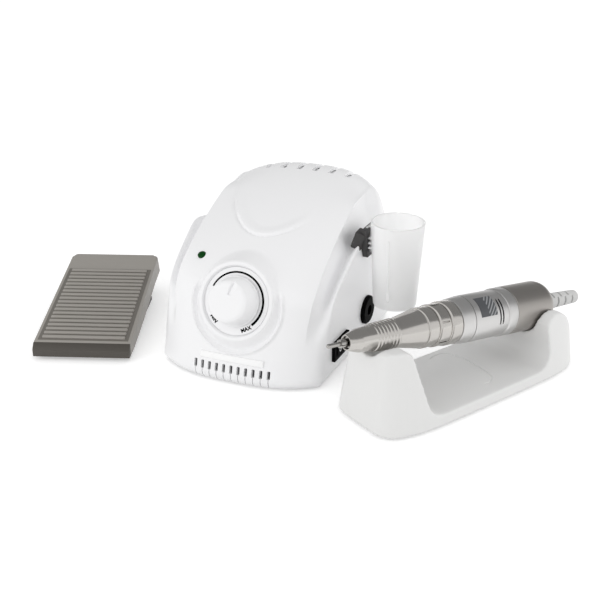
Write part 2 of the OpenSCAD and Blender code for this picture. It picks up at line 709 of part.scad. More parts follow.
// Bit cup and the bracket that it hangs on
bracket_h = 18;
bracket_w = 20;
bracket_t = 3.2;
bracket_y = cup_y;
bracket_z = cup_z + cup_h - bracket_h * 0.8;
bracket_peg_x = 6;
bracket_peg_r = 1.8;
bracket_peg_l = shell_wall + 2;
lug_gap = 0.3;
lug_t = 1;
lug_w = 8.4;
lug_foot = 2;
stem_w = 4.8;
stem_sink = 0.25;
rail_floor = 0.6;
cup_off = bracket_t + 0.05 + cup_top_r;
function cup_r(z) = mix(cup_foot_r, cup_top_r, (z - cup_z) / cup_h);
stem_out = cup_off - cup_r(bracket_z - bracket_h / 2 + lug_foot) + stem_sink;
module cup_bracket() color("dimgray") side_frame(bracket_y, bracket_z) difference() {
    union() {
        translate([-bracket_w / 2, -bracket_h / 2, 0]) cube([bracket_w, bracket_h, bracket_t]);
        for (s = [-1, 1]) translate([s * bracket_peg_x, 0, -bracket_peg_l])
            cylinder(r = bracket_peg_r, h = bracket_peg_l + eps);
    }
    translate([-lug_w / 2 - lug_gap, -bracket_h / 2 + lug_foot, rail_floor])
        cube([lug_w + 2 * lug_gap, bracket_h, lug_t + 2 * lug_gap]);
    translate([-stem_w / 2 - lug_gap, -bracket_h / 2 + lug_foot, rail_floor])
        cube([stem_w + 2 * lug_gap, bracket_h, bracket_t]);
}
module cup_frame() {
    side_frame(cup_y, cup_z) rotate([-90, 0, 0]) translate([0, -cup_off, 0]) children();
}
cup_floor = 4;
module bit_cup() color("white", 0.6) {
    cup_frame() rotate_extrude() polygon([[0, 1], [cup_foot_r - 1, 1], [cup_foot_r - 1, 0], [cup_foot_r, 0],
        [cup_top_r, cup_h], [cup_top_r - cup_wall, cup_h],
        [cup_foot_r - cup_wall, cup_floor], [0, cup_floor]]);
    lug_at = [0, -bracket_h / 2 + lug_foot + lug_gap, rail_floor + lug_gap];
    side_frame(bracket_y, bracket_z) translate(lug_at) {
        translate([-lug_w / 2, 0, 0]) cube([lug_w, bracket_h - lug_foot, lug_t]);
        translate([-stem_w / 2, 0, 0])
            cube([stem_w, bracket_h - lug_foot, stem_out - rail_floor - lug_gap]);
    }
}

// Handpiece, along its own axis from the nose's tip
cradle_half = cradle_l / 2;
module cradle_frame() {
    translate([cradle_x, cradle_y, 0]) rotate([0, 0, cradle_turn]) children();
}
nose_over = 12;
module hand_frame() {
    cradle_frame() translate([-cradle_half - nose_over, 0, axis_front_z + nose_over * tan(hand_pitch)])
        rotate([0, hand_pitch, 0]) rotate([0, 90, 0]) children();
}
collar_at = nose_l;
band_at = collar_at + collar_l;
barrel_at = band_at + band_l;
ring_at = barrel_at + barrel_l;
sleeve_at = ring_at + ring_l;
sleeve_end = sleeve_at + sleeve_l;
joint_gap = 0.2;
inner_r = barrel_r - 1.1;

// Nose cone: plain tip, grip rings, then the polished cone and a spigot for the neck
grip_at = 16;
grip_l = 15.5;
grip_low = 6.9;
grip_high = 7.7;
grip_pitch = grip_l / grip_n;
bearing_r = 5.5;
bearing_w = 4;
bearing_at = 9;
spindle_r = 3;
nose_mouth_r = spindle_r + 0.3;
spigot_r = 8.9;
spigot_l = 6;
module nose_cone() color("silver") hand_frame() rotate_extrude() polygon(concat(
    [[nose_mouth_r, 0], [nose_tip_r, 0], [nose_tip_r + 1, 3], [grip_low - 0.7, 7], [grip_low, grip_at]],
    [for (k = [0:grip_n - 1], p = [[0.15, 0], [0.3, 0.8], [0.75, 0.8], [0.9, 0]])
        [mix(grip_low, grip_high, k / grip_n) + p[1] * 0.75, grip_at + (k + p[0]) * grip_pitch]],
    [[grip_high, grip_at + grip_l], [nose_end_r, nose_l - joint_gap], [spigot_r, nose_l - joint_gap],
        [spigot_r, nose_l + spigot_l], [bearing_r + run_gap, nose_l + spigot_l],
        [bearing_r + run_gap, bearing_at],
        [nose_mouth_r, bearing_at]]));

// Twist lock collar in three steps, turning on the front band's neck
neck_r = 9.6;
collar_end_r = barrel_r - 1.1;
collar_steps = 3;
collar_groove = 0.5;
collar_marks = 6;
module lock_collar() color("silver") hand_frame() difference() {
    rotate_extrude() polygon(concat([[neck_r + run_gap, collar_at]],
        [for (k = [0:collar_steps - 1])
            let (r = mix(nose_end_r + 0.4, collar_end_r, k / (collar_steps - 1)),
            a = collar_at + k * collar_l / collar_steps, b = a + collar_l / collar_steps)
            each [[r - collar_groove, a], [r - collar_groove, a + 0.6], [r, a + 1], [r, b - 0.6]]],
        [[collar_end_r - collar_groove, band_at - joint_gap], [neck_r + run_gap, band_at - joint_gap]]));
    for (k = [0:collar_marks - 1]) rotate([0, 0, 360 / collar_marks * k])
        translate([nose_end_r + 0.2, -0.4, collar_at + collar_l / 3 + 1.5])
            cube([4, 0.8, collar_l / 3 - 3]);
}

module front_band() color("white") hand_frame() rotate_extrude() polygon([
    [spigot_r + run_gap, collar_at + joint_gap], [neck_r, collar_at + joint_gap], [neck_r, band_at],
    [collar_end_r + 0.2, band_at], [barrel_r - 0.2, barrel_at - joint_gap],
    [can_r + joint_gap, barrel_at - joint_gap],
    [can_r + joint_gap, can_at - joint_gap], [spigot_r + run_gap, can_at - joint_gap]]);

// Barrel, with a shallow seat for the label panel and two pairs of vent slits
label_l = 17;
label_w = 12;
label_at = 4;
label_t = 0.3;
label_turn = 221;
slit_at = 18.5;
slit_pitch = 2.4;
slit_w = 1.1;
module label_wedge(grow) {
    rotate([0, 0, label_turn]) translate([0, -label_w / 2 - grow, barrel_at + label_at - grow])
        cube([barrel_r + 5, label_w + 2 * grow, label_l + 2 * grow - 4]);
}
module barrel() color("lightgray") hand_frame() difference() {
    translate([0, 0, barrel_at]) cylinder(r = barrel_r, h = barrel_l - joint_gap);
    translate([0, 0, barrel_at - 1]) cylinder(r = inner_r, h = barrel_l + 2);
    difference() {
        label_wedge(0.1);
        cylinder(r = barrel_r - label_t, h = 200);
    }
    for (a = [0, 180], k = [0, 1]) rotate([0, 0, label_turn + a])
        translate([0, -label_w / 2, barrel_at + slit_at + slit_pitch * k])
            cube([barrel_r + 2, label_w, slit_w]);
}
module label_panel() color("dimgray") hand_frame() intersection() {
    label_wedge(0);
    difference() {
        cylinder(r = barrel_r - 0.05, h = 200);
        translate([0, 0, -1]) cylinder(r = barrel_r - label_t, h = 202);
    }
}

module rear_ring() color("white") hand_frame() rotate_extrude() polygon([
    [can_r + joint_gap, ring_at], [barrel_r, ring_at], [sleeve_r - 0.1, ring_at + 1],
    [sleeve_r - 0.1, sleeve_at - joint_gap],
    [can_r + joint_gap, sleeve_at - joint_gap]]);

// Rear sleeve with a rounded end, and the ribbed strain relief held in it
sleeve_round = 8;
sleeve_floor = 4;
relief_hole_r = relief_r + 0.1;
module rear_sleeve() color("gray") hand_frame() rotate_extrude() polygon(concat(
    [[can_r + joint_gap, sleeve_at], [sleeve_r, sleeve_at]],
    arc([sleeve_r - sleeve_round, sleeve_end - sleeve_round], sleeve_round, 0, 90, 10),
    [[relief_hole_r, sleeve_end], [relief_hole_r, sleeve_end - sleeve_floor],
        [can_r + joint_gap - 3, sleeve_end - sleeve_floor],
        [can_r + joint_gap, sleeve_end - sleeve_floor - 3]]));
relief_end_r = relief_r - 0.9;
relief_flange = 2.2;
relief_ribs = 7;
relief_slot = 1.6;
relief_root = sleeve_end - sleeve_floor - joint_gap;
module strain_relief() color("lightgray") hand_frame() difference() {
    rotate_extrude() polygon(concat(
        [[relief_bore_r, relief_root - relief_flange], [relief_hole_r + 1.6, relief_root - relief_flange],
            [relief_hole_r + 1.6, relief_root], [relief_r, relief_root]],
        [[relief_r, sleeve_end + 1]],
        arc([relief_end_r - 1.5, sleeve_end + relief_l - 1.5], 1.5, 0, 90, 5),
        [[relief_bore_r, sleeve_end + relief_l]]));
    for (k = [0:relief_ribs - 1], s = [0, 180]) rotate([0, 0, k % 2 * 90 + s])
        translate([-relief_r, relief_bore_r + 0.6, sleeve_end + 4 + k * (relief_l - 8) / relief_ribs])
            cube([2 * relief_r, relief_r, relief_slot]);
}

// Collet chuck and spindle
collet_r = 2.2;
collet_out = 4;
collet_l = 26;
collet_slit = 0.4;
spindle_at = 1.5;
spindle_end = nose_l + 4;
module spindle() color("silver") hand_frame() difference() {
    translate([0, 0, spindle_at]) cylinder(r = spindle_r, h = spindle_end - spindle_at);
    translate([0, 0, spindle_at - 1]) cylinder(r = collet_r + run_gap, h = collet_l + 1.3);
}
module collet() color("silver") hand_frame() difference() {
    translate([0, 0, -collet_out]) cylinder(r = collet_r, h = collet_l + collet_out);
    translate([0, 0, -collet_out - 1]) cylinder(r = pin_r + run_gap, h = collet_l + 2);
    for (k = [0:2]) rotate([0, 0, 120 * k + 30]) translate([0, -collet_slit / 2, -collet_out - 1])
        cube([collet_r + 1, collet_slit, collet_l / 2]);
}
pin_in = 14;
module dummy_pin() color("silver") hand_frame() translate([0, 0, -collet_out - pin_out])
    rotate_extrude() polygon([[0, 0], [pin_r - 0.4, 0], [pin_r, 0.4], [pin_r, pin_out + pin_in],
        [0, pin_out + pin_in]]);
bearing_places = [bearing_at + joint_gap, nose_l - 8];
module spindle_bearings() color("darkgray") hand_frame() for (t = bearing_places) difference() {
    translate([0, 0, t]) cylinder(r = bearing_r, h = bearing_w);
    translate([0, 0, t - 1]) cylinder(r = spindle_r + run_gap, h = bearing_w + 2);
}

// Motor
coupling_r = 4.4;
coupling_at = spindle_end - 4;
coupling_l = 9;
motor_shaft_r = 1.5;
module drive_coupling() color("dimgray") hand_frame() difference() {
    translate([0, 0, coupling_at]) cylinder(r = coupling_r, h = coupling_l);
    translate([0, 0, coupling_at - 1]) cylinder(r = spindle_r + run_gap, h = 5 + run_gap);
    translate([0, 0, coupling_at + 4]) cylinder(r = motor_shaft_r + run_gap, h = coupling_l);
}
can_r = inner_r - joint_gap;
can_wall = 1.2;
can_at = band_at + 3;
can_end = sleeve_at + 4;
can_plate = 3;
motor_bearing_r = 4;
module motor_can() color("silver") hand_frame() difference() {
    translate([0, 0, can_at]) cylinder(r = can_r, h = can_end - can_at);
    translate([0, 0, can_at + can_plate]) cylinder(r = can_r - can_wall, h = can_end);
    translate([0, 0, can_at - 1]) cylinder(r = motor_bearing_r + run_gap, h = can_plate + 2);
}
magnet_t = 2;
magnet_l = 26;
magnet_at = can_at + can_plate + 2;
module motor_magnets() color("black") hand_frame() difference() {
    translate([0, 0, magnet_at]) cylinder(r = can_r - can_wall - run_gap, h = magnet_l);
    translate([0, 0, magnet_at - 1]) cylinder(r = can_r - can_wall - magnet_t, h = magnet_l + 2);
    for (s = [-1, 1]) translate([-3, s > 0 ? 2 : -20, magnet_at - 1]) cube([6, 18, magnet_l + 2]);
}
rotor_r = can_r - can_wall - magnet_t - 0.5;
rotor_l = 24;
rotor_at = magnet_at + 1;
rotor_slots = 5;
module rotor() color("saddlebrown") hand_frame() difference() {
    translate([0, 0, rotor_at]) cylinder(r = rotor_r, h = rotor_l);
    translate([0, 0, rotor_at - 1]) cylinder(r = motor_shaft_r + run_gap, h = rotor_l + 2);
    for (k = [0:rotor_slots - 1]) rotate([0, 0, k * 360 / rotor_slots])
        translate([rotor_r - 2.5, -0.6, rotor_at - 1]) cube([4, 1.2, rotor_l + 2]);
}
commutator_r = 3.2;
commutator_at = rotor_at + rotor_l + 2;
commutator_l = 8;
module commutator() color("orange") hand_frame() difference() {
    translate([0, 0, commutator_at]) cylinder(r = commutator_r, h = commutator_l);
    translate([0, 0, commutator_at - 1]) cylinder(r = motor_shaft_r + run_gap, h = commutator_l + 2);
}
module motor_shaft() color("silver") hand_frame() translate([0, 0, coupling_at + 4.5])
    cylinder(r = motor_shaft_r, h = can_end - coupling_at - 4.5);
brush_w = 3;
brush_gap = 0.2;
holder_at = commutator_at + 1.5;
holder_end = can_end;
module brush_cut(grow) {
    translate([-brush_w / 2 - grow, -can_r, holder_at + 1.5 - grow])
        cube([brush_w + 2 * grow, 2 * can_r, 4 + 2 * grow]);
}
module brush_holder() color("tan") hand_frame() difference() {
    translate([0, 0, holder_at]) cylinder(r = can_r - can_wall - run_gap, h = holder_end - holder_at);
    translate([0, 0, holder_at - 1])
        cylinder(r = commutator_r + 1, h = commutator_at + commutator_l + 1.5 - holder_at);
    translate([0, 0, holder_end - can_plate]) cylinder(r = motor_bearing_r + run_gap, h = can_plate + 1);
    translate([0, 0, holder_at]) cylinder(r = motor_shaft_r + 0.5, h = 50);
    brush_cut(0.1);
}
module carbon_brushes() color("black") hand_frame() intersection() {
    difference() {
        brush_cut(0);
        cylinder(r = commutator_r + brush_gap, h = 300);
    }
    cylinder(r = can_r - can_wall - 2, h = 300);
}
motor_bearing_places = [can_at, holder_end - can_plate];
module motor_bearings() color("darkgray") hand_frame() for (t = motor_bearing_places) difference() {
    translate([0, 0, t]) cylinder(r = motor_bearing_r, h = can_plate);
    translate([0, 0, t - 1]) cylinder(r = motor_shaft_r + run_gap, h = can_plate + 2);
}

// Foot pedal, from the middle of its front edge
module pedal_frame() {
    translate([pedal_x, pedal_y, 0]) rotate([0, 0, pedal_turn]) children();
}
module across(w) {
    translate([-w / 2, 0, 0]) rotate([90, 0, 90]) linear_extrude(height = w) children();
}
tread_front = 3;
tread_slope = atan((pedal_rear_h - pedal_front_h) / (pedal_d - tread_front));
skirt_rear = [pedal_d + 4.8, pedal_rear_h - 11.9];
skirt_notch = [pedal_d - 17, pedal_rear_h - 14];
skirt_bend = [44, 4.5];
hinge_at = [9, 3.9];
hinge_boss_r = hinge_r + 1.6;
module treadle_side() polygon([[0, 1], [0, 5.5], [tread_front, pedal_front_h], [pedal_d, pedal_rear_h],
    skirt_rear, skirt_notch, skirt_bend, [14, 1]]);
module treadle_hollow() polygon([[pedal_wall, -1], [pedal_wall, 4.5],
    [tread_front + 1, pedal_front_h - pedal_wall], [pedal_d - 1.4, pedal_rear_h - pedal_wall - 0.2],
    [skirt_rear[0] - pedal_wall, skirt_rear[1] - 1],
    [skirt_rear[0] - pedal_wall, -1]]);
rib_from = 13;
rib_to = 88;
rib_pitch = (rib_to - rib_from) / rib_n;
rib_depth = 0.9;
rib_margin = 4;
module treadle() color("gray") pedal_frame() difference() {
    union() {
        difference() {
            across(pedal_w) treadle_side();
            across(pedal_w - 2 * pedal_wall) treadle_hollow();
        }
        for (s = [-1, 1]) translate([s * lug_x - lug_l / 2, hinge_at[0], hinge_at[1]]) rotate([0, 90, 0])
            cylinder(r = hinge_boss_r, h = lug_l);
        for (s = [-1, 1]) translate([s * lug_x - lug_l / 2, hinge_at[0] - 1.2, hinge_at[1]])
            cube([lug_l, 2.4, pedal_front_h - hinge_at[1] - 1]);
    }
    for (k = [0:rib_n - 1]) translate([0, tread_front, pedal_front_h]) rotate([tread_slope, 0, 0])
        translate([-pedal_w / 2 + rib_margin, rib_from - tread_front + k * rib_pitch, -rib_depth])
            cube([pedal_w - 2 * rib_margin, rib_pitch * 0.45, 3]);
    translate([-lug_x - lug_l, hinge_at[0], hinge_at[1]]) rotate([0, 90, 0])
        cylinder(r = hinge_r + run_gap, h = 2 * lug_x + 2 * lug_l);
}
lug_x = pedal_w / 2 - pedal_wall - 5;
lug_l = 5;
base_in = pedal_wall + 0.8;
pedal_base_t = 2.2;
pedal_base_end = 87;
knuckle_l = 2 * lug_x - lug_l - 2 * seat_gap;
spring_at = 74;
spring_r = 4.5;
spring_seat_h = 1.5;
module pedal_base() color("dimgray") pedal_frame() difference() {
    union() {
        translate([-pedal_w / 2 + base_in, pedal_wall + 0.6, 0])
            cube([pedal_w - 2 * base_in, pedal_base_end - pedal_wall - 0.6, pedal_base_t]);
        translate([-knuckle_l / 2, hinge_at[0], hinge_at[1]]) rotate([0, 90, 0])
            cylinder(r = hinge_boss_r - 0.4, h = knuckle_l);
        translate([-knuckle_l / 2, hinge_at[0] - 1.6, 0]) cube([knuckle_l, 3.2, hinge_at[1]]);
        translate([0, spring_at, pedal_base_t - eps]) cylinder(r = spring_r - 1.6, h = spring_seat_h);
    }
    translate([-pedal_w, hinge_at[0], hinge_at[1]]) rotate([0, 90, 0])
        cylinder(r = hinge_r + run_gap, h = 2 * pedal_w);
    for (s = [-1, 1]) translate([s * lug_x - lug_l / 2 - seat_gap, 0, pedal_base_t - 1.7])
        cube([lug_l + 2 * seat_gap, hinge_at[0] + 5, 4]);
    for (p = pedal_screw_places) translate([p[0], p[1], -1]) cylinder(r = 1.3, h = pedal_base_t + 2);
    translate([0, pedal_base_end - 10, gland_z]) rotate([-90, 0, 0]) cylinder(r = gland_bore_r, h = 20);
}
module hinge_pin() color("silver") pedal_frame() translate([-lug_x - lug_l / 2, hinge_at[0], hinge_at[1]])
    rotate([0, 90, 0]) cylinder(r = hinge_r, h = 2 * lug_x + lug_l);

// Return spring: one unbroken coil between the base and the treadle
spring_wire = 1;
spring_turns = 5;
spring_foot = pedal_base_t + spring_wire / 2 + seat_gap / 2;
function tread_under(y) = pedal_front_h - pedal_wall + (y - tread_front - 1) * tan(tread_slope) - 0.35;
spring_top = tread_under(spring_at - spring_r) - spring_wire / 2 - seat_gap;
spring_rings = 8 * spring_turns;
spring_line = [for (k = [0:spring_rings]) let (a = k * 360 * spring_turns / spring_rings)
    [spring_r * cos(a), spring_r * sin(a), mix(spring_foot, spring_top, k / spring_rings)]];
spring_steps = [for (i = [0:spring_rings], j = [i + 5:1:spring_rings])
    norm(spring_line[i] - spring_line[j])];
spring_gap = min(spring_steps) - spring_wire;
echo(str("least gap between the spring's turns: ", spring_gap));
spring_sides = 6;
function spring_side(k, s) = let (a = k * 360 * spring_turns / spring_rings, b = s * 360 / spring_sides)
    spring_line[k] + spring_wire / 2 * [cos(b) * cos(a), cos(b) * sin(a), sin(b)];
function ring(k, s) = k * spring_sides + s % spring_sides;
module return_spring() color("silver") pedal_frame() translate([0, spring_at, 0]) {
    points = [for (k = [0:spring_rings], s = [0:spring_sides - 1]) spring_side(k, s)];
    walls = [for (k = [0:spring_rings - 1], s = [0:spring_sides - 1], up = [0, 1])
        up == 0 ? [ring(k, s), ring(k, s + 1), ring(k + 1, s + 1)]
            : [ring(k, s), ring(k + 1, s + 1), ring(k + 1, s)]];
    foot = [for (s = [1:spring_sides - 2]) [ring(0, 0), ring(0, s + 1), ring(0, s)]];
    top = [for (s = [1:spring_sides - 2])
        [ring(spring_rings, 0), ring(spring_rings, s), ring(spring_rings, s + 1)]];
    polyhedron(points = points, faces = concat(walls, foot, top));
}

// Switch box with a plunger under the treadle
switch_at = 52;
switch_w = 12;
switch_d = 16;
plunger_r = 1.6;
switch_floor = 0.6;
plunger_travel = 3.6;
switch_h = tread_under(switch_at - switch_d / 2) - pedal_base_t - 4.6;
module switch_box() color("black") pedal_frame() translate([0, switch_at, pedal_base_t]) difference() {
    translate([-switch_w / 2, -switch_d / 2, 0]) cube([switch_w, switch_d, switch_h]);
    translate([0, 0, switch_floor]) cylinder(r = plunger_r + run_gap, h = switch_h);
}
plunger_foot = pedal_base_t + switch_floor + plunger_travel;
module switch_plunger() color("firebrick") pedal_frame() translate([0, switch_at, plunger_foot])
    cylinder(r = plunger_r, h = tread_under(switch_at - plunger_r) - plunger_foot - seat_gap);

pedal_foot_r = 5;
pedal_foot_x = pedal_w / 2 - base_in - 1.4 * pedal_foot_r;
pedal_foot_rows = [4 * pedal_foot_r, pedal_base_end - 1.6 * pedal_foot_r];
pedal_screw_rows = [6 * pedal_foot_r, pedal_base_end - 4 * pedal_foot_r];
pedal_foot_places = [for (s = [-1, 1], y = pedal_foot_rows) [s * pedal_foot_x, y]];
pedal_screw_places = [for (s = [-1, 1], y = pedal_screw_rows) [s * pedal_foot_x, y]];
module pedal_feet() color("black") pedal_frame() for (p = pedal_foot_places)
    translate([p[0], p[1], -foot_h]) cylinder(r = pedal_foot_r, h = foot_h);
module pedal_screws() color("silver") pedal_frame() for (p = pedal_screw_places) translate(p) {
    translate([0, 0, 0.2]) cylinder(r = 1.25, h = pedal_base_t + 1);
    translate([0, 0, pedal_base_t]) cylinder(r = 2.4, h = 1.4);
}
gland_z = 5.4;
gland_bore_r = 1.7;
gland_l = 9;
gland_at = pedal_base_end - 8;
module pedal_gland() color("dimgray") pedal_frame() translate([0, gland_at, gland_z]) difference() {
    union() {
        rotate([-90, 0, 0]) cylinder(r = gland_bore_r + 1.2, h = gland_l + 4);
        translate([-gland_bore_r - 2.4, 0, pedal_base_t - gland_z])
            cube([2 * gland_bore_r + 4.8, gland_l - 2, gland_z - pedal_base_t]);
    }
    translate([0, -1, 0]) rotate([-90, 0, 0]) cylinder(r = gland_bore_r, h = gland_l + 6);
}

// Cradle: one moulded body, two posts with nests cut along the handpiece's own line
cradle_power = 5;
cradle_draft = [0.94, 0.74];
cradle_top = front_post_h + 4;
nest_gap = 0.3;
function bowed(v) = sign(v) * pow(abs(v), 2 / cradle_power);
function rounded_plan(a, b, n) = [for (k = [0:n - 1]) let (t = k * 360 / n)
    [a * bowed(cos(t)), b * bowed(sin(t))]];
module cradle_profile() polygon(concat(
    [[-cradle_half - 1, 0], [-cradle_half - 1, 8]],
    arc([-cradle_half + 8, front_post_h - 4], 4, 150, 90, 4),
    arc([-cradle_half + 14.5, front_post_h - 4], 4, 90, 15, 5),
    arc([-cradle_half + 36, cradle_floor + 10], 10, 192, 270, 6),
    arc([cradle_half - 39, cradle_floor + 10], 10, 270, 360, 6),
    arc([cradle_half - 22, rear_post_h - 9], 9, 160, 75, 5),
    bezier_points([[cradle_half - 19, rear_post_h - 0.4], [cradle_half - 10, rear_post_h - 3],
        [cradle_half - 3, rear_post_h - 16], [cradle_half + 1, 6]], 8),
    [[cradle_half + 1, 0]]));
function bezier_points(p, n) = [for (k = [0:n]) bezier(p, k / n)];
module cradle_body() color("white") difference() {
    cradle_frame() intersection() {
        linear_extrude(height = cradle_top, scale = cradle_draft, slices = 1)
            polygon(rounded_plan(cradle_half, cradle_w / 2, 48));
        translate([0, cradle_w, 0]) rotate([90, 0, 0])
            linear_extrude(height = 2 * cradle_w) cradle_profile();
    }
    hand_frame() {
        nest_r = sleeve_r + nest_gap;
        translate([0, 0, ring_at - 20]) cylinder(r = nest_r, h = sleeve_l + 60);
        translate([-60, -nest_r, ring_at - 20]) cube([60, 2 * nest_r, sleeve_l + 60]);
        front_r = grip_high + 1;
        translate([0, 0, nose_over - 5])
            cylinder(r1 = front_r - 0.7, r2 = nose_end_r + 1.2, h = nose_l - nose_over + 5);
        translate([-60, -front_r, nose_over - 5]) cube([60, 2 * front_r, 15]);
        translate([-60, -nose_end_r - 0.6, nose_over + 10]) cube([60, 2 * nose_end_r + 1.2, 40]);
    }
}
cradle_foot_places = [for (sx = [-1, 1], sy = [-1, 1]) [sx * (cradle_half - 18), sy * (cradle_w / 2 - 13)]];
cradle_foot_r = 5;
module cradle_feet() color("lightgray") cradle_frame() for (p = cradle_foot_places)
    translate([p[0], p[1], -foot_h]) cylinder(r = cradle_foot_r, h = foot_h);

upper_shell();
dial_pod();
base_plate();
rubber_feet();
base_screws();
dial_plate();
speed_knob();
pot_shaft();
potentiometer();
pot_nut();
power_lamp();
circuit_board();
board_screws();
heat_sink();
capacitors();
transformer_core();
transformer_coil();
transformer_strap();
rocker_frame();
power_rocker();
handpiece_socket();
socket_nut();
pedal_socket();
mains_gland();
fuse_cap();
cup_bracket();
bit_cup();
nose_cone();
lock_collar();
front_band();
barrel();
label_panel();
rear_ring();
rear_sleeve();
strain_relief();
spindle();
collet();
dummy_pin();
spindle_bearings();
drive_coupling();
motor_can();
motor_magnets();
motor_shaft();
rotor();
commutator();
brush_holder();
carbon_brushes();
motor_bearings();
treadle();
pedal_base();
hinge_pin();
return_spring();
switch_box();
switch_plunger();
pedal_feet();
pedal_screws();
pedal_gland();
cradle_body();
cradle_feet();
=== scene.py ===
import json
from math import cos, pi, radians, sin

import bpy
import numpy as np
from mathutils import Matrix, Vector


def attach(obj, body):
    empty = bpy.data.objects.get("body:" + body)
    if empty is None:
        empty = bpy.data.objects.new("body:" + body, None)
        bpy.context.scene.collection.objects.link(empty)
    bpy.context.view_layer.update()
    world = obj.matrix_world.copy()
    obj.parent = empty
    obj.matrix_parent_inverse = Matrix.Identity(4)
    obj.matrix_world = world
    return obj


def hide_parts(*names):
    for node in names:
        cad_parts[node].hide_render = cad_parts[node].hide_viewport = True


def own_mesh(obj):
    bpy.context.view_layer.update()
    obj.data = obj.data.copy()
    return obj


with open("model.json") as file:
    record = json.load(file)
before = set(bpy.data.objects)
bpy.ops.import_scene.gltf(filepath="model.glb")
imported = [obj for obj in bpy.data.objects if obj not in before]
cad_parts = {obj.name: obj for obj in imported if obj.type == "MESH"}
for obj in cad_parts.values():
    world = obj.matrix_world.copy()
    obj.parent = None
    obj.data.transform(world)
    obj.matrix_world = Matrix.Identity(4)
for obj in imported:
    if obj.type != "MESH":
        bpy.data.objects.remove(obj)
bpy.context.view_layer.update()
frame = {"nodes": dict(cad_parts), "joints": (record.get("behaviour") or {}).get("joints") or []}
nodes = frame["nodes"]
joints = {joint["name"]: joint for joint in frame["joints"]}
mm = 0.001
print("frame loaded:", len(nodes), "nodes")


# Small tools used by all the pieces
def restAll():
    if bpy.context.object and bpy.context.object.mode != "OBJECT":
        bpy.ops.object.mode_set(mode="OBJECT")
    bpy.ops.object.select_all(action="DESELECT")


def openMesh():
    bpy.ops.object.mode_set(mode="EDIT")
    bpy.ops.mesh.select_all(action="SELECT")


def closeMesh():
    bpy.ops.object.mode_set(mode="OBJECT")


def keepOnly(piece):
    restAll()
    piece.select_set(True)
    bpy.context.view_layer.objects.active = piece
    return piece


def useModifier(piece, kind, **values):
    keepOnly(piece)
    modifier = piece.modifiers.new(kind.lower(), kind)
    for key, value in values.items():
        setattr(modifier, key, value)
    bpy.ops.object.modifier_apply(modifier=modifier.name)


def breakEdges(piece, width=0.5):
    useModifier(piece, "BEVEL", width=width * mm, segments=2, limit_method="ANGLE", angle_limit=radians(40))


def putAt(piece, place):
    piece.matrix_world = place @ piece.matrix_world
    keepOnly(piece)
    bpy.ops.object.transform_apply(location=True, rotation=True, scale=True)
    return piece


def mergeMesh(piece, outside=True, distance=0.002):
    keepOnly(piece)
    openMesh()
    bpy.ops.mesh.remove_doubles(threshold=distance * mm)
    if outside:
        bpy.ops.mesh.normals_make_consistent(inside=False)
    closeMesh()
    return piece


def joinAll(pieces):
    restAll()
    for piece in pieces:
        piece.select_set(True)
    bpy.context.view_layer.objects.active = pieces[0]
    bpy.ops.object.join()
    return bpy.context.object


def cadCopy(node):
    restAll()
    nodes[node].select_set(True)
    bpy.context.view_layer.objects.active = nodes[node]
    bpy.ops.object.duplicate()
    piece = bpy.context.object
    for key in list(piece.keys()):
        del piece[key]
    piece.parent = None
    return mergeMesh(piece, outside=False)


def finishPiece(piece, name, body, slotName, *replaced, angle=32):
    keepOnly(piece)
    bpy.ops.object.shade_smooth_by_angle(angle=radians(angle))
    piece.name = name
    piece.data.name = name
    piece.data.materials.clear()
    piece.data.materials.append(finishes[slotName])
    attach(piece, body)
    if replaced:
        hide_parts(*replaced)
    return piece


def softCorners(line, cut, steps=3, closed=False):
    points = [Vector(p) for p in line]
    made = []
    count = len(points)
    for k, point in enumerate(points):
        if not closed and k in (0, count - 1):
            made.append(tuple(point))
            continue
        before, after = points[k - 1] - point, points[(k + 1) % count] - point
        reach = min(cut, before.length * 0.45, after.length * 0.45)
        a, b = point + before.normalized() * reach, point + after.normalized() * reach
        for s in range(steps + 1):
            t = s / steps
            made.append(tuple(a * (1 - t) ** 2 + point * 2 * t * (1 - t) + b * t ** 2))
    return made


# A wire through the given points, drawn by extruding one point and left in edit mode
def drawWire(line):
    restAll()
    bpy.ops.mesh.primitive_plane_add(size=mm)
    openMesh()
    bpy.ops.mesh.merge(type="CENTER")
    last = Vector((0, 0, 0))
    for k, point in enumerate(Vector(p) for p in line):
        step = (point - last) * mm
        if k == 0:
            bpy.ops.transform.translate(value=step)
        else:
            bpy.ops.mesh.extrude_region_move(TRANSFORM_OT_translate={"value": step})
        last = point
    return bpy.context.object


# A wire of radius and height pairs, spun about its own axis
def turned(line, place, steps=112):
    piece = drawWire([(r, 0, z) for r, z in line])
    bpy.ops.mesh.select_all(action="SELECT")
    bpy.ops.mesh.spin(steps=steps, angle=2 * pi, center=(0, 0, 0), axis=(0, 0, 1))
    closeMesh()
    mergeMesh(piece)
    return putAt(piece, place)


def block(size, place, bevel=0.0):
    restAll()
    bpy.ops.mesh.primitive_cube_add(size=1)
    piece = bpy.context.object
    piece.scale = [v * mm for v in size]
    bpy.ops.object.transform_apply(location=False, rotation=False, scale=True)
    if bevel:
        openMesh()
        bpy.ops.mesh.bevel(offset=bevel * mm, segments=3, affect="EDGES")
        closeMesh()
    return putAt(piece, place)


def rod(radius, length, place, sides=48):
    restAll()
    bpy.ops.mesh.primitive_cylinder_add(radius=radius * mm, depth=length * mm, vertices=sides)
    return putAt(bpy.context.object, place)


def moved(x, y, z):
    return Matrix.Translation((x * mm, y * mm, z * mm))


def axes(origin, x, y, z):
    turn = Matrix((Vector(x), Vector(y), Vector(z))).transposed().to_4x4()
    return Matrix.Translation(origin) @ turn


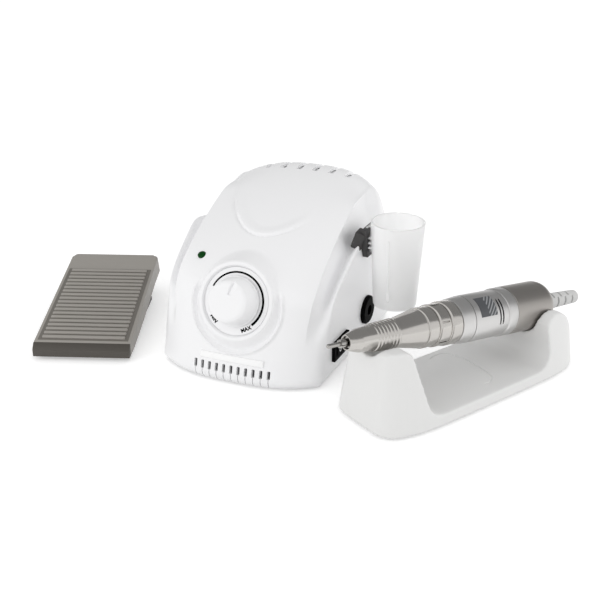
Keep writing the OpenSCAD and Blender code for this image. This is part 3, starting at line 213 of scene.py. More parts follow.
# Places and directions of the dial, handpiece, cup, rocker and pedal, read from the joints
dialPoint = Vector(joints["speed_turn"]["pos_m"])
dialOut = Vector(joints["speed_turn"]["axis"]).normalized()
dialOut = dialOut if dialOut.y < 0 else -dialOut
dialUp = dialOut.cross(Vector((1, 0, 0)))
dialFrame = axes(dialPoint, (1, 0, 0), dialUp, dialOut)
handNose = Vector(joints["collar_twist"]["pos_m"])
handAxis = Vector(joints["collar_twist"]["axis"]).normalized()
handSide = Vector((0, 0, 1)).cross(handAxis).normalized()
handDown = handSide.cross(handAxis)
handFrame = axes(handNose, handDown, handAxis.cross(handDown), handAxis)
cupPoint = Vector(joints["cup_lift"]["pos_m"])
rockerPoint = Vector(joints["power_rock"]["pos_m"])
hingePoint = Vector(joints["treadle_press"]["pos_m"])
pedalSide = Vector(joints["treadle_press"]["axis"]).normalized()
pedalBack = Vector((0, 0, 1)).cross(pedalSide)


# Finishes, one for each slot of the record
def tone(red, green, blue):
    def toLinear(value):
        v = value / 255
        return v / 12.92 if v <= 0.04045 else ((v + 0.055) / 1.055) ** 2.4
    return (toLinear(red), toLinear(green), toLinear(blue), 1.0)


def newGroup(name, source, result):
    group = bpy.data.node_groups.new(name, "ShaderNodeTree")
    for label, way in ((source, "INPUT"), (result, "OUTPUT")):
        group.interface.new_socket(label, in_out=way, socket_type="NodeSocketFloat")
    kinds = ("NodeGroupInput", "NodeGroupOutput", "ShaderNodeTexCoord")
    return group, *(group.nodes.new(kind) for kind in kinds)


def mouldGrainGroup():
    group, start, end, place = newGroup("mouldGrain", "Size", "Height")
    made, wire = group.nodes, group.links
    noise = made.new("ShaderNodeTexNoise")
    noise.inputs["Detail"].default_value = 3.0
    wire.new(place.outputs["Object"], noise.inputs["Vector"])
    wire.new(start.outputs["Size"], noise.inputs["Scale"])
    wire.new(noise.outputs["Fac"], end.inputs["Height"])
    return group


# Fine rings square to an axis, as a lathe leaves them
def latheLinesGroup():
    group, start, end, place = newGroup("latheLines", "Pitch", "Height")
    made, wire = group.nodes, group.links
    along = made.new("ShaderNodeVectorMath")
    along.operation = "DOT_PRODUCT"
    along.inputs[1].default_value = handAxis
    scaled = made.new("ShaderNodeMath")
    scaled.operation = "DIVIDE"
    noise = made.new("ShaderNodeTexNoise")
    noise.noise_dimensions = "1D"
    noise.inputs["Scale"].default_value = 1.0
    noise.inputs["Detail"].default_value = 4.0
    wire.new(place.outputs["Object"], along.inputs[0])
    wire.new(along.outputs["Value"], scaled.inputs[0])
    wire.new(start.outputs["Pitch"], scaled.inputs[1])
    wire.new(scaled.outputs["Value"], noise.inputs["W"])
    wire.new(noise.outputs["Fac"], end.inputs["Height"])
    return group


mouldGrain = mouldGrainGroup()
latheLines = latheLinesGroup()

finishSettings = {
    "white_plastic": dict(colour=(246, 246, 247), rough=0.32, coat=0.1, grain=(900, 0.02)),
    "black_plastic": dict(colour=(6, 6, 7), rough=0.6, spec=0.04, grain=(1500, 0.05)),
    "dark_plastic": dict(colour=(58, 57, 57), rough=0.5, grain=(1500, 0.08)),
    "pedal_plastic": dict(colour=(150, 146, 141), rough=0.45, grain=(2200, 0.12)),
    "cup_plastic": dict(colour=(255, 255, 255), rough=0.28, clear=0.45, ior=1.38),
    "green_lens": dict(colour=(2, 62, 14), rough=0.3, spec=0.15),
    "rubber": dict(colour=(40, 40, 41), rough=0.75, grain=(2500, 0.1)),
    "pale_rubber": dict(colour=(206, 206, 205), rough=0.55, grain=(2500, 0.08)),
    "silver": dict(colour=(193, 190, 186), rough=0.2, metal=1.0, lines=(0.00035, 0.02)),
    "satin_silver": dict(colour=(208, 207, 206), rough=0.38, metal=1.0, lines=(0.0003, 0.03)),
    "grey_coat": dict(colour=(168, 164, 160), rough=0.38, metal=1.0, grain=(3000, 0.05)),
    "steel": dict(colour=(170, 168, 165), rough=0.25, metal=1.0),
    "label": dict(colour=(52, 54, 56), rough=0.35),
    "board": dict(colour=(24, 92, 52), rough=0.5),
    "copper": dict(colour=(190, 110, 62), rough=0.35, metal=1.0),
    "iron": dict(colour=(70, 70, 73), rough=0.5, metal=0.6),
    "cap_sleeve": dict(colour=(28, 32, 80), rough=0.35),
    "carbon": dict(colour=(32, 32, 33), rough=0.7),
}
bumpHeight = 0.0004


def makeFinish(name, colour, rough, metal=0.0, coat=0.0, clear=0.0, ior=1.45, spec=0.5, grain=None,
               lines=None):
    finish = bpy.data.materials.new("finish_" + name)
    finish.use_nodes = True
    made, wire = finish.node_tree.nodes, finish.node_tree.links
    skin = made["Principled BSDF"]
    skin.inputs["Base Color"].default_value = tone(*colour)
    skin.inputs["Roughness"].default_value = rough
    skin.inputs["Metallic"].default_value = metal
    skin.inputs["Coat Weight"].default_value = coat
    skin.inputs["Transmission Weight"].default_value = clear
    skin.inputs["IOR"].default_value = ior
    skin.inputs["Specular IOR Level"].default_value = spec
    if grain or lines:
        pattern = made.new("ShaderNodeGroup")
        pattern.node_tree = mouldGrain if grain else latheLines
        size, strength = grain or lines
        pattern.inputs[0].default_value = size
        bump = made.new("ShaderNodeBump")
        bump.inputs["Strength"].default_value = strength
        bump.inputs["Distance"].default_value = bumpHeight
        wire.new(pattern.outputs["Height"], bump.inputs["Height"])
        wire.new(bump.outputs["Normal"], skin.inputs["Normal"])
    return finish


def ownFinish(piece, name, *values, **more):
    piece.data.materials[0] = makeFinish(name, *values, **more)


# The mask mixes two colours into the finish's own colour
def blendColours(finish, mask, first, second):
    made, wire = finish.node_tree.nodes, finish.node_tree.links
    blend = made.new("ShaderNodeMix")
    blend.data_type = "RGBA"
    blend.inputs["A"].default_value, blend.inputs["B"].default_value = tone(*first), tone(*second)
    wire.new(mask, blend.inputs["Factor"])
    wire.new(blend.outputs["Result"], made["Principled BSDF"].inputs["Base Color"])


# Slanting light lines on the rear half of the handpiece's panel
hatch = dict(pitch=2.6, dark=(78, 80, 83), light=(150, 152, 154), share=0.35, rough=0.4)


def hatchGroup(middle, across):
    group, start, end, place = newGroup("hatchLines", "Pitch", "Mask")
    made, wire = group.nodes, group.links
    slant, along = made.new("ShaderNodeVectorMath"), made.new("ShaderNodeVectorMath")
    for node, way in ((slant, handAxis + across), (along, handAxis)):
        node.operation = "DOT_PRODUCT"
        node.inputs[1].default_value = way
        wire.new(place.outputs["Object"], node.inputs[0])
    steps = [made.new("ShaderNodeMath") for k in range(5)]
    for node, job, value in zip(steps, ("DIVIDE", "SINE", "GREATER_THAN", "GREATER_THAN", "MULTIPLY"),
                                (1.0, 0.0, hatch["share"], middle, 1.0)):
        node.operation = job
        node.inputs[1].default_value = value
    wire.new(slant.outputs["Value"], steps[0].inputs[0])
    wire.new(start.outputs["Pitch"], steps[0].inputs[1])
    wire.new(steps[0].outputs["Value"], steps[1].inputs[0])
    wire.new(steps[1].outputs["Value"], steps[2].inputs[0])
    wire.new(along.outputs["Value"], steps[3].inputs[0])
    wire.new(steps[2].outputs["Value"], steps[4].inputs[0])
    wire.new(steps[3].outputs["Value"], steps[4].inputs[1])
    wire.new(steps[4].outputs["Value"], end.inputs["Mask"])
    return group


def makeHatch():
    panel = nodes["label_panel"]
    middle = sum((v.co for v in panel.data.vertices), Vector()) / len(panel.data.vertices)
    across = handAxis.cross(middle - handNose).normalized()
    finish = makeFinish("label_hatch", colour=hatch["dark"], rough=hatch["rough"])
    lines = finish.node_tree.nodes.new("ShaderNodeGroup")
    lines.node_tree = hatchGroup(middle.dot(handAxis), across)
    lines.inputs["Pitch"].default_value = hatch["pitch"] / (2 * pi) * mm
    blendColours(finish, lines.outputs["Mask"], hatch["dark"], hatch["light"])
    return finish


finishes = {name: makeFinish(name, **values) for name, values in finishSettings.items()}
for node in nodes.values():
    slotName = node.material_slots[0].material.name.split(".")[0]
    node.material_slots[0].material = finishes[slotName]
nodes["label_panel"].material_slots[0].material = makeHatch()
print("finishes made:", len(finishes))


# Upper shell: a grid laid over the section of the unit, its points moved by the formula of the shell
shell = dict(
    lean=13.5, front=77.0, rear=78.0, dialHeight=47.5, crown=(47.0, 93.0), rearSeat=(76.5, 62.0),
    frontBend=22.0, crownReach=45.0, rearReach=15.0, rearBend=30.0, crownSlope=(1.0, 0.1),
    frontRound=13.0, roundAt=50.0, roundFrom=-50.0, rearTurn=2.5, halfWidth=55.5, flare=0.07, sideTurn=-4.0,
    hoodHalf=42.0, hoodNarrow=2.2, narrowZ=(30, 62), sideFall=3.0, crownFall=3.6, fallY=(12, 45), fallZ=(50, 85),
    scoopDepth=11.5, scoopAt=0.42, scoopRise=12.0, scoopLess=0.4, scoopFrom=-20, scoopEnd=(30, 62), scoopPower=1.6,
    shoulderDepth=26.0, shoulderY=(-30, 40), shoulderFull=82, plumbY=(30, 60),
    stepWidth=1.4, stepFrom=0.15, edge=4.5, edgeFade=12, flankLeast=0.3, tuck=0.035, tuckHeight=5.0, wall=2.4,
    podR=23.0, podTop=0.2, podSlope=(1.25, 2.4), podSlopeUp=(-18, 6), podBlend=2.0, podReach=44.0,
    faceSunk=2.8, faceEdge=(20.6, 21.6), frontOnly=-20,
    troughR=27.0, troughDrop=2.6, troughDepth=1.8, troughEnd=(3.0, 10.0), troughEdge=(0.3, -1.6),
    lipR=27.9, lipHalf=1.1, lipFlat=0.2, lipLift=1.2,
    tongueFrom=-29.3, tongueBend=0.034, tongueLift=1.0, tongueLine=0.5, tongueRise=(-0.5, 0.9), tongueFade=(1.2, 8.0),
    lineIn=(-2.0, -1.1), lineOut=(-1.0, -0.4), tongueLeft=(28.0, 38.0), tongueRight=(15.0, 25.0),
    tongueLow=60, tongueWay=(0, -0.6, 0.8),
)
# How many rows the shell's grid has along its section, and how many columns from the middle to the foot
mesh = dict(
    footRows=6, wallFrom=5.7, wallRows=62, riseShare=0.58, riseRows=(140, 30), fallRows=25, rearRows=12,
    rearFoot=(4, 0, 5), hoodFine=(30, 44), hoodRest=(31, 9), stepCols=6, flankCols=18, edgeCols=8, wallCols=8,
    footHeights=(3.5, 2, 1, 0), sideRounds=6,
)


def ease(low, high, value):
    k = np.clip((value - low) / (high - low), 0, 1)
    return k * k * (3 - 2 * k)


def softMax(a, b, soft):
    k = np.clip(0.5 + 0.5 * (a - b) / soft, 0, 1)
    return b + (a - b) * k + soft * k * (1 - k)


def curvePoint(points, t):
    p = [np.array(v, float) for v in points]
    u = 1 - t
    at = p[0] * u ** 3 + p[1] * 3 * t * u ** 2 + p[2] * 3 * t ** 2 * u + p[3] * t ** 3
    run = 3 * ((p[1] - p[0]) * u ** 2 + (p[2] - p[1]) * 2 * t * u + (p[3] - p[2]) * t ** 2)
    return at, run


def shellSection():
    s, m = shell, mesh
    lean = radians(s["lean"])
    foot = np.array((-s["front"], 0.0))
    seat = foot + s["dialHeight"] * np.array((np.tan(lean), 1.0))
    crown, rearSeat = np.array(s["crown"]), np.array(s["rearSeat"])
    slope = np.array(s["crownSlope"])
    rise = (seat, seat + s["frontBend"] * np.array((sin(lean), cos(lean))),
            crown - s["crownReach"] * slope, crown)
    fallBack = (crown, crown + s["rearReach"] * slope, rearSeat + np.array((0.0, s["rearBend"])), rearSeat)
    rearFoot = np.array((s["rear"], 0.0))
    rows = []
    heights = list(np.linspace(0, s["tuckHeight"], m["footRows"]))
    heights += list(np.linspace(m["wallFrom"], s["dialHeight"], m["wallRows"]))
    for z in heights[:-1]:
        rows.append((foot + (seat - foot) * z / s["dialHeight"], seat - foot))
    for t in np.concatenate([np.linspace(0, m["riseShare"], m["riseRows"][0])[:-1],
                             np.linspace(m["riseShare"], 1, m["riseRows"][1])[:-1]]):
        rows.append(curvePoint(rise, t))
    for t in np.linspace(0, 1, m["fallRows"])[:-1]:
        rows.append(curvePoint(fallBack, t))
    for z in list(np.linspace(rearSeat[1], s["tuckHeight"], m["rearRows"])) + list(np.linspace(*m["rearFoot"])):
        rows.append((rearFoot + (rearSeat - rearFoot) * z / rearSeat[1], rearFoot - rearSeat))
    points = np.array([row[0] for row in rows])
    runs = np.array([row[1] for row in rows])
    return points, runs / np.linalg.norm(runs, axis=1)[:, None]


def hoodEdge(p):
    return shell["hoodHalf"] - shell["hoodNarrow"] * (1 - ease(*shell["narrowZ"], p[1]))


def frontBow(x):
    return shell["frontRound"] * (abs(x) / shell["roundAt"]) ** 3


# A point of the row at p with the inward normal n; e runs from the hood's edge to the ridge of the side wall
def flankPoint(p, n, x, e, onHood):
    s = shell
    out = np.abs(x) / s["hoodHalf"]
    back = 1 - s["rearTurn"] * ease(s["roundFrom"], s["rear"], p[0])
    drop = s["sideFall"] * (x / s["hoodHalf"]) ** 2 * ease(0, s["dialHeight"], p[1])
    drop += s["crownFall"] * np.minimum(out, 1) ** 4 * ease(*s["fallY"], p[0]) * ease(*s["fallZ"], p[1])
    scoop = s["scoopDepth"] * ease(s["dialHeight"] / 2, s["dialHeight"] + s["scoopRise"], p[1])
    scoop *= 1 - s["scoopLess"] * ease(s["scoopFrom"], s["crown"][0], p[0])
    scoop *= 1 - ease(*s["scoopEnd"], p[0])
    shoulder = s["shoulderDepth"] * ease(*s["shoulderY"], p[0]) * min(1.0, p[1] / s["shoulderFull"])
    plumb = ease(*s["plumbY"], p[0])
    way = n * (1 - plumb) + np.array((0.0, -1.0)) * plumb
    k = e / s["scoopAt"]
    hollow = k * (2 - k) if k < 1 else 1 - ((e - s["scoopAt"]) / (1 - s["scoopAt"])) ** s["scoopPower"]
    dent = onHood * (scoop * hollow + shoulder * e * e)
    return np.array((x, p[0] + way[0] * dent + frontBow(x) * back, p[1] + way[1] * dent - drop))


def sideAt(y):
    return shell["halfWidth"] + shell["flare"] * y


def shellRow(p, run):
    s, m = shell, mesh
    n = np.array((run[1], -run[0]))
    side = sideAt(p[0])
    for k in range(m["sideRounds"]):
        side = sideAt(flankPoint(p, n, side, 1.0, 1.0)[1])
    made = []
    hood = hoodEdge(p)
    for x in list(np.linspace(0, *m["hoodFine"])) + list(np.linspace(m["hoodRest"][0], hood, m["hoodRest"][1])):
        made.append(flankPoint(p, n, x, 0.0, 0.0))
    start = hood + s["stepWidth"]
    for k in np.linspace(s["stepFrom"], 1, m["stepCols"]):
        x = hood + s["stepWidth"] * k
        made.append(flankPoint(p, n, x, 0.0, k * k * (3 - 2 * k)))
    cut = max(s["flankLeast"], 1 - s["edge"] / (side - start))
    for e in np.linspace(0, cut, m["flankCols"])[1:]:
        made.append(flankPoint(p, n, start + (side - start) * e, e, 1.0))
    ridge = flankPoint(p, n, side, 1.0, 1.0)
    along = np.array((0, run[0], run[1]))
    down = np.array((0, 0, -1.0)) + run[1] * along
    length = np.linalg.norm(down)
    down = down / length if length > 1e-6 else np.array((0, -np.sign(run[0]), 0))
    low = ridge + down * s["edge"] * min(1.0, ridge[2] / s["edgeFade"])
    low[0] += s["flare"] * (low[1] - ridge[1])
    low[2] = max(0, low[2])
    high = made[-1]
    for t in np.linspace(0, 1, m["edgeCols"])[1:]:
        made.append(high * (1 - t) ** 2 + ridge * 2 * t * (1 - t) + low * t * t)
    heights = list(np.linspace(low[2], min(s["tuckHeight"], low[2]), m["wallCols"])[1:])
    for z in heights + list(m["footHeights"]):
        made.append(np.array((low[0], low[1], min(z, low[2]))))
    return np.array(made)


# The dial's pod, the sunk crescent below it with its lip and the tongue's lip stand on the hood
def dressHood(points):
    s = shell
    lean = radians(s["lean"])
    wallUp, wallOut = np.array((0, sin(lean), cos(lean))), np.array((0, -cos(lean), sin(lean)))
    middle, podUp, podOut = np.array(dialPoint) / mm, np.array(dialUp), np.array(dialOut)
    place = points - middle
    x, up = place[..., 0], place @ wallUp
    near = np.hypot(x, up + s["troughDrop"])
    below = (1 - ease(*s["troughEnd"], up)) * (points[..., 1] < s["frontOnly"])
    lip = s["lipLift"] * ease(s["lipHalf"], s["lipFlat"], np.abs(near - s["lipR"])) * below
    edge = [s["troughR"] + away for away in s["troughEdge"]]
    sunk = s["troughDepth"] * ease(*edge, near) * below
    place = place + (lip - sunk)[..., None] * wallOut
    r, out = np.hypot(x, place @ podUp), place @ podOut
    gentle, steep = s["podSlope"]
    slope = gentle + (steep - gentle) * ease(*s["podSlopeUp"], place @ podUp)
    pod = s["podTop"] - slope * np.maximum(0, r - s["podR"])
    high = softMax(out, pod, s["podBlend"]) - s["faceSunk"] * (1 - ease(*s["faceEdge"], r))
    gain = np.where((r < s["podReach"]) & (out > -s["podReach"]), high - out, 0)
    points = place + gain[..., None] * podOut + middle
    px, py, pz = points[..., 0], points[..., 1], points[..., 2]
    behind = py - s["tongueFrom"] - s["tongueBend"] * px ** 2
    behind = behind / np.sqrt(1 + (2 * s["tongueBend"] * px) ** 2)
    tongue = s["tongueLift"] * ease(*s["tongueRise"], behind) * (1 - ease(*s["tongueFade"], behind))
    tongue -= s["tongueLine"] * ease(*s["lineIn"], behind) * (1 - ease(*s["lineOut"], behind))
    ends = np.where(px < 0, 1 - ease(*s["tongueLeft"], -px), 1 - ease(*s["tongueRight"], px))
    tongue = tongue * ends * (pz > s["tongueLow"])
    return points + tongue[..., None] * np.array(s["tongueWay"])


def tuckFoot(points):
    k = np.clip(1 - points[..., 2] / shell["tuckHeight"], 0, 1)
    scale = 1 - shell["tuck"] * k * k
    return np.stack([points[..., 0] * scale, points[..., 1] * scale, points[..., 2]], axis=-1)


def makeShell():
    s = shell
    section, runs = shellSection()
    half = np.array([shellRow(p, run) for p, run in zip(section, runs)])
    mirrored = half[:, :0:-1] * np.array((-1, 1, 1))
    points = tuckFoot(dressHood(np.concatenate([mirrored, half], axis=1)))
    rows, cols = points.shape[:2]
    restAll()
    bpy.ops.mesh.primitive_grid_add(x_subdivisions=cols - 1, y_subdivisions=rows - 1, size=2)
    piece = bpy.context.object
    flat = np.zeros(len(piece.data.vertices) * 3)
    piece.data.vertices.foreach_get("co", flat)
    flat = flat.reshape(-1, 3)
    col = np.rint((flat[:, 0] + 1) / 2 * (cols - 1)).astype(int)
    row = np.rint((flat[:, 1] + 1) / 2 * (rows - 1)).astype(int)
    piece.data.vertices.foreach_set("co", (points[row, col] * mm).ravel())
    piece.data.update()
    mergeMesh(piece, distance=0.02)
    useModifier(piece, "SOLIDIFY", thickness=s["wall"] * mm, offset=-1, use_even_offset=False)
    return piece


shellPiece = makeShell()
print("shell skin:", len(shellPiece.data.polygons), "faces")

openings = dict(
    vents=11, ventPitch=4.6, vent=(1.9, 9.0, 5.0), ventZ=8.0, ventIn=2.5, ventRound=0.5,
    groove=(0.5, 2.0, 7.4), grooveAt=(-75.4, 2.6), grooveLean=14.3,
    crownVents=6, crownPitch=11.0, crownVent=(4.0, 34.0, 24.0), crownAt=(62.0, 91.0), crownRound=0.8,
    rocker=(19.0, 9.5), socketR=6.6, socketAt=(3.5, 21.5), dialR=15.0, through=20,
    rearR=(4.2, 6.2, 6.2), rearX=(-28, 0, 28), rearAt=(74, 22.0),
    sheetFrom=(42.0, 76), sheetHalf=34.0, sheetDeep=3.3, sheetThick=0.7, sheetCols=24,
)


def sidePlace(y, z):
    turn = radians(shell["sideTurn"])
    out = Vector((cos(turn), sin(turn), 0))
    return axes(Vector((sideAt(y) * mm, y * mm, z * mm)), (-sin(turn), cos(turn), 0), (0, 0, 1), out)


def carve(piece, cutters):
    tool = joinAll(cutters)
    useModifier(piece, "BOOLEAN", object=tool, operation="DIFFERENCE", solver="EXACT")
    bpy.data.objects.remove(tool)


def spread(count, pitch):
    return [(k - (count - 1) / 2) * pitch for k in range(count)]


def cutShell():
    o = openings
    cutters, grooves = [], []
    lean = Matrix.Rotation(radians(-shell["lean"]), 4, "X")
    foot = Matrix.Rotation(radians(o["grooveLean"]), 4, "X")
    for x in spread(o["vents"], o["ventPitch"]):
        y = -shell["front"] + frontBow(x) + o["ventIn"]
        cutters.append(block(o["vent"], moved(x, y, o["ventZ"]) @ lean, o["ventRound"]))
        grooves.append(block(o["groove"], moved(x, o["grooveAt"][0] + frontBow(x), o["grooveAt"][1]) @ foot))
    for x in spread(o["crownVents"], o["crownPitch"]):
        cutters.append(block(o["crownVent"], moved(x, *o["crownAt"]), o["crownRound"]))
    wall = sidePlace(rockerPoint.y / mm, rockerPoint.z / mm)
    cutters.append(block((*o["rocker"], o["through"]), wall))
    cutters.append(rod(o["socketR"], o["through"], sidePlace(*o["socketAt"])))
    cutters.append(rod(o["dialR"], o["through"], dialFrame))
    for x, r in zip(o["rearX"], o["rearR"]):
        cutters.append(rod(r, o["through"], moved(x, *o["rearAt"]) @ Matrix.Rotation(radians(90), 4, "X")))
    carve(shellPiece, cutters)
    carve(shellPiece, grooves)


# A white sheet close under the top vents keeps dust off the board
def makeVentSheet():
    o = openings
    rows = [(p, np.array((run[1], -run[0]))) for p, run in zip(*shellSection())
            if p[0] > o["sheetFrom"][0] and p[1] > o["sheetFrom"][1]]
    restAll()
    bpy.ops.mesh.primitive_grid_add(x_subdivisions=o["sheetCols"], y_subdivisions=len(rows) - 1, size=2)
    sheet = bpy.context.object
    for v in sheet.data.vertices:
        p, n = rows[round((v.co.y + 1) / 2 * (len(rows) - 1))]
        at = flankPoint(p, n, v.co.x * o["sheetHalf"], 0.0, 0.0) + o["sheetDeep"] * np.array((0, n[0], n[1]))
        v.co = at * mm
    useModifier(sheet, "SOLIDIFY", thickness=o["sheetThick"] * mm, offset=0)
    mergeMesh(sheet)
    finishPiece(sheet, "ventSheet", "unit", "white_plastic")


cutShell()
makeVentSheet()
finishPiece(shellPiece, "shellBody", "unit", "white_plastic", "upper_shell", "dial_pod", angle=38)
print("shell cut:", len(shellPiece.data.polygons), "faces")


# A smooth bar over the front vents, bowed like the wall behind it, its white painted lighter than the shell's as a
# highlight
bar = dict(
    length=40.0, deep=2.4, tall=4.0, z=14.5, proud=1.1, bevel=0.7, cuts=12,
    colour=(252, 252, 252), rough=0.16, coat=0.6,
)


def makeBar():
    b = bar
    lean = radians(shell["lean"])
    strip = block((b["length"], b["deep"], b["tall"]), Matrix.Identity(4), b["bevel"])
    for k in range(1, b["cuts"]):
        openMesh()
        bpy.ops.mesh.bisect(plane_co=((k / b["cuts"] - 0.5) * b["length"] * mm, 0, 0), plane_no=(1, 0, 0))
        closeMesh()
    for v in strip.data.vertices:
        v.co.y += frontBow(v.co.x / mm) * mm
    front = -shell["front"] + b["z"] * np.tan(lean) - b["proud"] + b["deep"] / 2
    putAt(strip, moved(0, front, b["z"]) @ Matrix.Rotation(-lean, 4, "X"))
    finishPiece(strip, "frontBar", "unit", "white_plastic")
    # The bar's lighter white is a painted highlight
    ownFinish(strip, "bar_highlight_white", b["colour"], b["rough"], coat=b["coat"])


makeBar()
print("bar made")


# Dial: a turned rim round the plate, the speed arc, its two words and the knob
dial = dict(
    rimIn=19.58, rimOut=23.1, rimTop=0.9, rimLow=-2.2, rimFoot=-3.0, rimSoft=0.5,
    arcR=(15.7, 17.1), arcFrom=157.0, arcTo=-47.0, arcThin=0.9, arcSteps=72, arcUp=0.02, arcThick=0.08,
    words=(("MIN", -136.0), ("MAX", -61.0)), wordSize=3.0, wordBold=0.13,
    wordR=17.0, wordUp=0.05, wordThick=0.04, plateTop=-0.8,
    knobR=14.5, knobTop=11.6, knobBase=0.0, knobHeight=13.0, knobSoft=1.3, knobBore=7.9, boreDeep=3,
    pointer=-16.0, pointerCut=(3.6, 14, 3.6), pointerAt=(11.2, 0.3), pointerTilt=(-9, -28),
)


def makeDial():
    d = dial
    rim = softCorners([(d["rimIn"], d["rimLow"]), (d["rimIn"], d["plateTop"] + 0.1), (d["rimIn"] + 1.0, d["rimTop"]),
                       (d["rimOut"] - 0.6, d["rimTop"] - 0.1), (d["rimOut"], d["rimTop"] - 1.2),
                       (d["rimOut"] + 0.7, d["rimFoot"]), (d["rimIn"], d["rimFoot"])], d["rimSoft"], closed=True)
    piece = turned(rim + rim[:1], dialFrame, steps=144)
    finishPiece(piece, "dialRim", "unit", "white_plastic")
    # The arc is one strip laid round the plate, wider towards its high end
    restAll()
    bpy.ops.mesh.primitive_grid_add(x_subdivisions=d["arcSteps"], y_subdivisions=1, size=2)
    arc = bpy.context.object
    for v in arc.data.vertices:
        t = (v.co.x + 1) / 2
        a = radians(d["arcFrom"] + (d["arcTo"] - d["arcFrom"]) * t)
        wide = d["arcThin"] + (d["arcR"][1] - d["arcR"][0] - d["arcThin"]) * t
        r = d["arcR"][1] - (wide if v.co.y < 0 else 0)
        v.co = (r * cos(a) * mm, r * sin(a) * mm, (d["plateTop"] + d["arcUp"]) * mm)
    useModifier(arc, "SOLIDIFY", thickness=d["arcThick"] * mm, offset=1)
    mergeMesh(arc)
    marks = [putAt(arc, dialFrame)]
    for word, turn in d["words"]:
        restAll()
        bpy.ops.object.text_add()
        text = bpy.context.object
        text.data.body = word
        text.data.size = d["wordSize"] * mm
        text.data.align_x = "CENTER"
        text.data.align_y = "CENTER"
        text.data.extrude = d["wordThick"] * mm
        text.data.offset = d["wordBold"] * mm
        bpy.ops.object.convert(target="MESH")
        a = radians(turn)
        spot = moved(d["wordR"] * cos(a), d["wordR"] * sin(a), d["plateTop"] + d["wordUp"])
        marks.append(putAt(text, dialFrame @ spot @ Matrix.Rotation(a + radians(90), 4, "Z")))
    finishPiece(joinAll(marks), "dialMarks", "unit", "black_plastic")
    # Knob with a skirt ring, a drafted side and a V groove for the pointer
    b, h = d["knobBase"], d["knobHeight"]
    line = softCorners([(d["knobBore"], b), (d["knobR"], b), (d["knobR"], b + 1.2), (d["knobR"] - 0.5, b + 1.5),
                        (d["knobTop"] + 0.3, b + h - 1.2), (d["knobTop"] - 1.4, b + h), (0, b + h)],
                       d["knobSoft"], steps=6)
    hole = [(0, b + d["boreDeep"]), (d["knobBore"], b + d["boreDeep"])]
    knob = turned(hole + line, Matrix.Identity(4), steps=128)
    away, up = d["pointerAt"]
    spot = Matrix.Rotation(radians(d["pointer"]), 4, "Z") @ moved(0, away, b + h + up)
    for angle, axis in zip(d["pointerTilt"], "XY"):
        spot = spot @ Matrix.Rotation(radians(angle), 4, axis)
    carve(knob, [block(d["pointerCut"], spot)])
    finishPiece(putAt(knob, dialFrame), "speedKnob", "knob", "white_plastic", "speed_knob")


makeDial()
print("dial made")


# Handpiece: turned pieces with broken edges, from the nose's tip to the rear sleeve
hand = dict(
    tipR=4.0, tipBore=(3.4, 9.0), noseEnd=48.0, noseEndR=10.8, noseIn=9.0, gap=0.2,
    gripFrom=16.0, gripLength=15.5, grips=7, gripLow=6.9, gripHigh=7.7, gripLift=0.62,
    gripShape=((0, 0.12), (1, 0.3), (1, 0.76), (0, 0.94)),
    collarEnd=73.0, collarR=(11.2, 12.4), collarIn=9.8, collarRings=3, collarStep=1.0,
    notches=6, notch=(3, 0.9), notchOut=0.9, notchLess=2.6, notchRound=0.3,
    bandEnd=82.0, bandIn=(9.7, 12.3), barrelEnd=108.5, barrelR=13.5, barrelIn=12.4, ringEnd=116.0, ringR=14.0,
    seatIn=12.5, sleeveEnd=151.0, sleeveR=14.1, sleeveRound=8.0, sleeveSteps=12, tailR=5.2, tailDeep=4,
    shadeSpan=(100.0, 104.8), shadeR=12.38, shadeThick=0.04, skinR=13.42,
    slitTurn=240.0, slits=(101.4, 103.6), slit=(6, 15.0, 1.1),
)


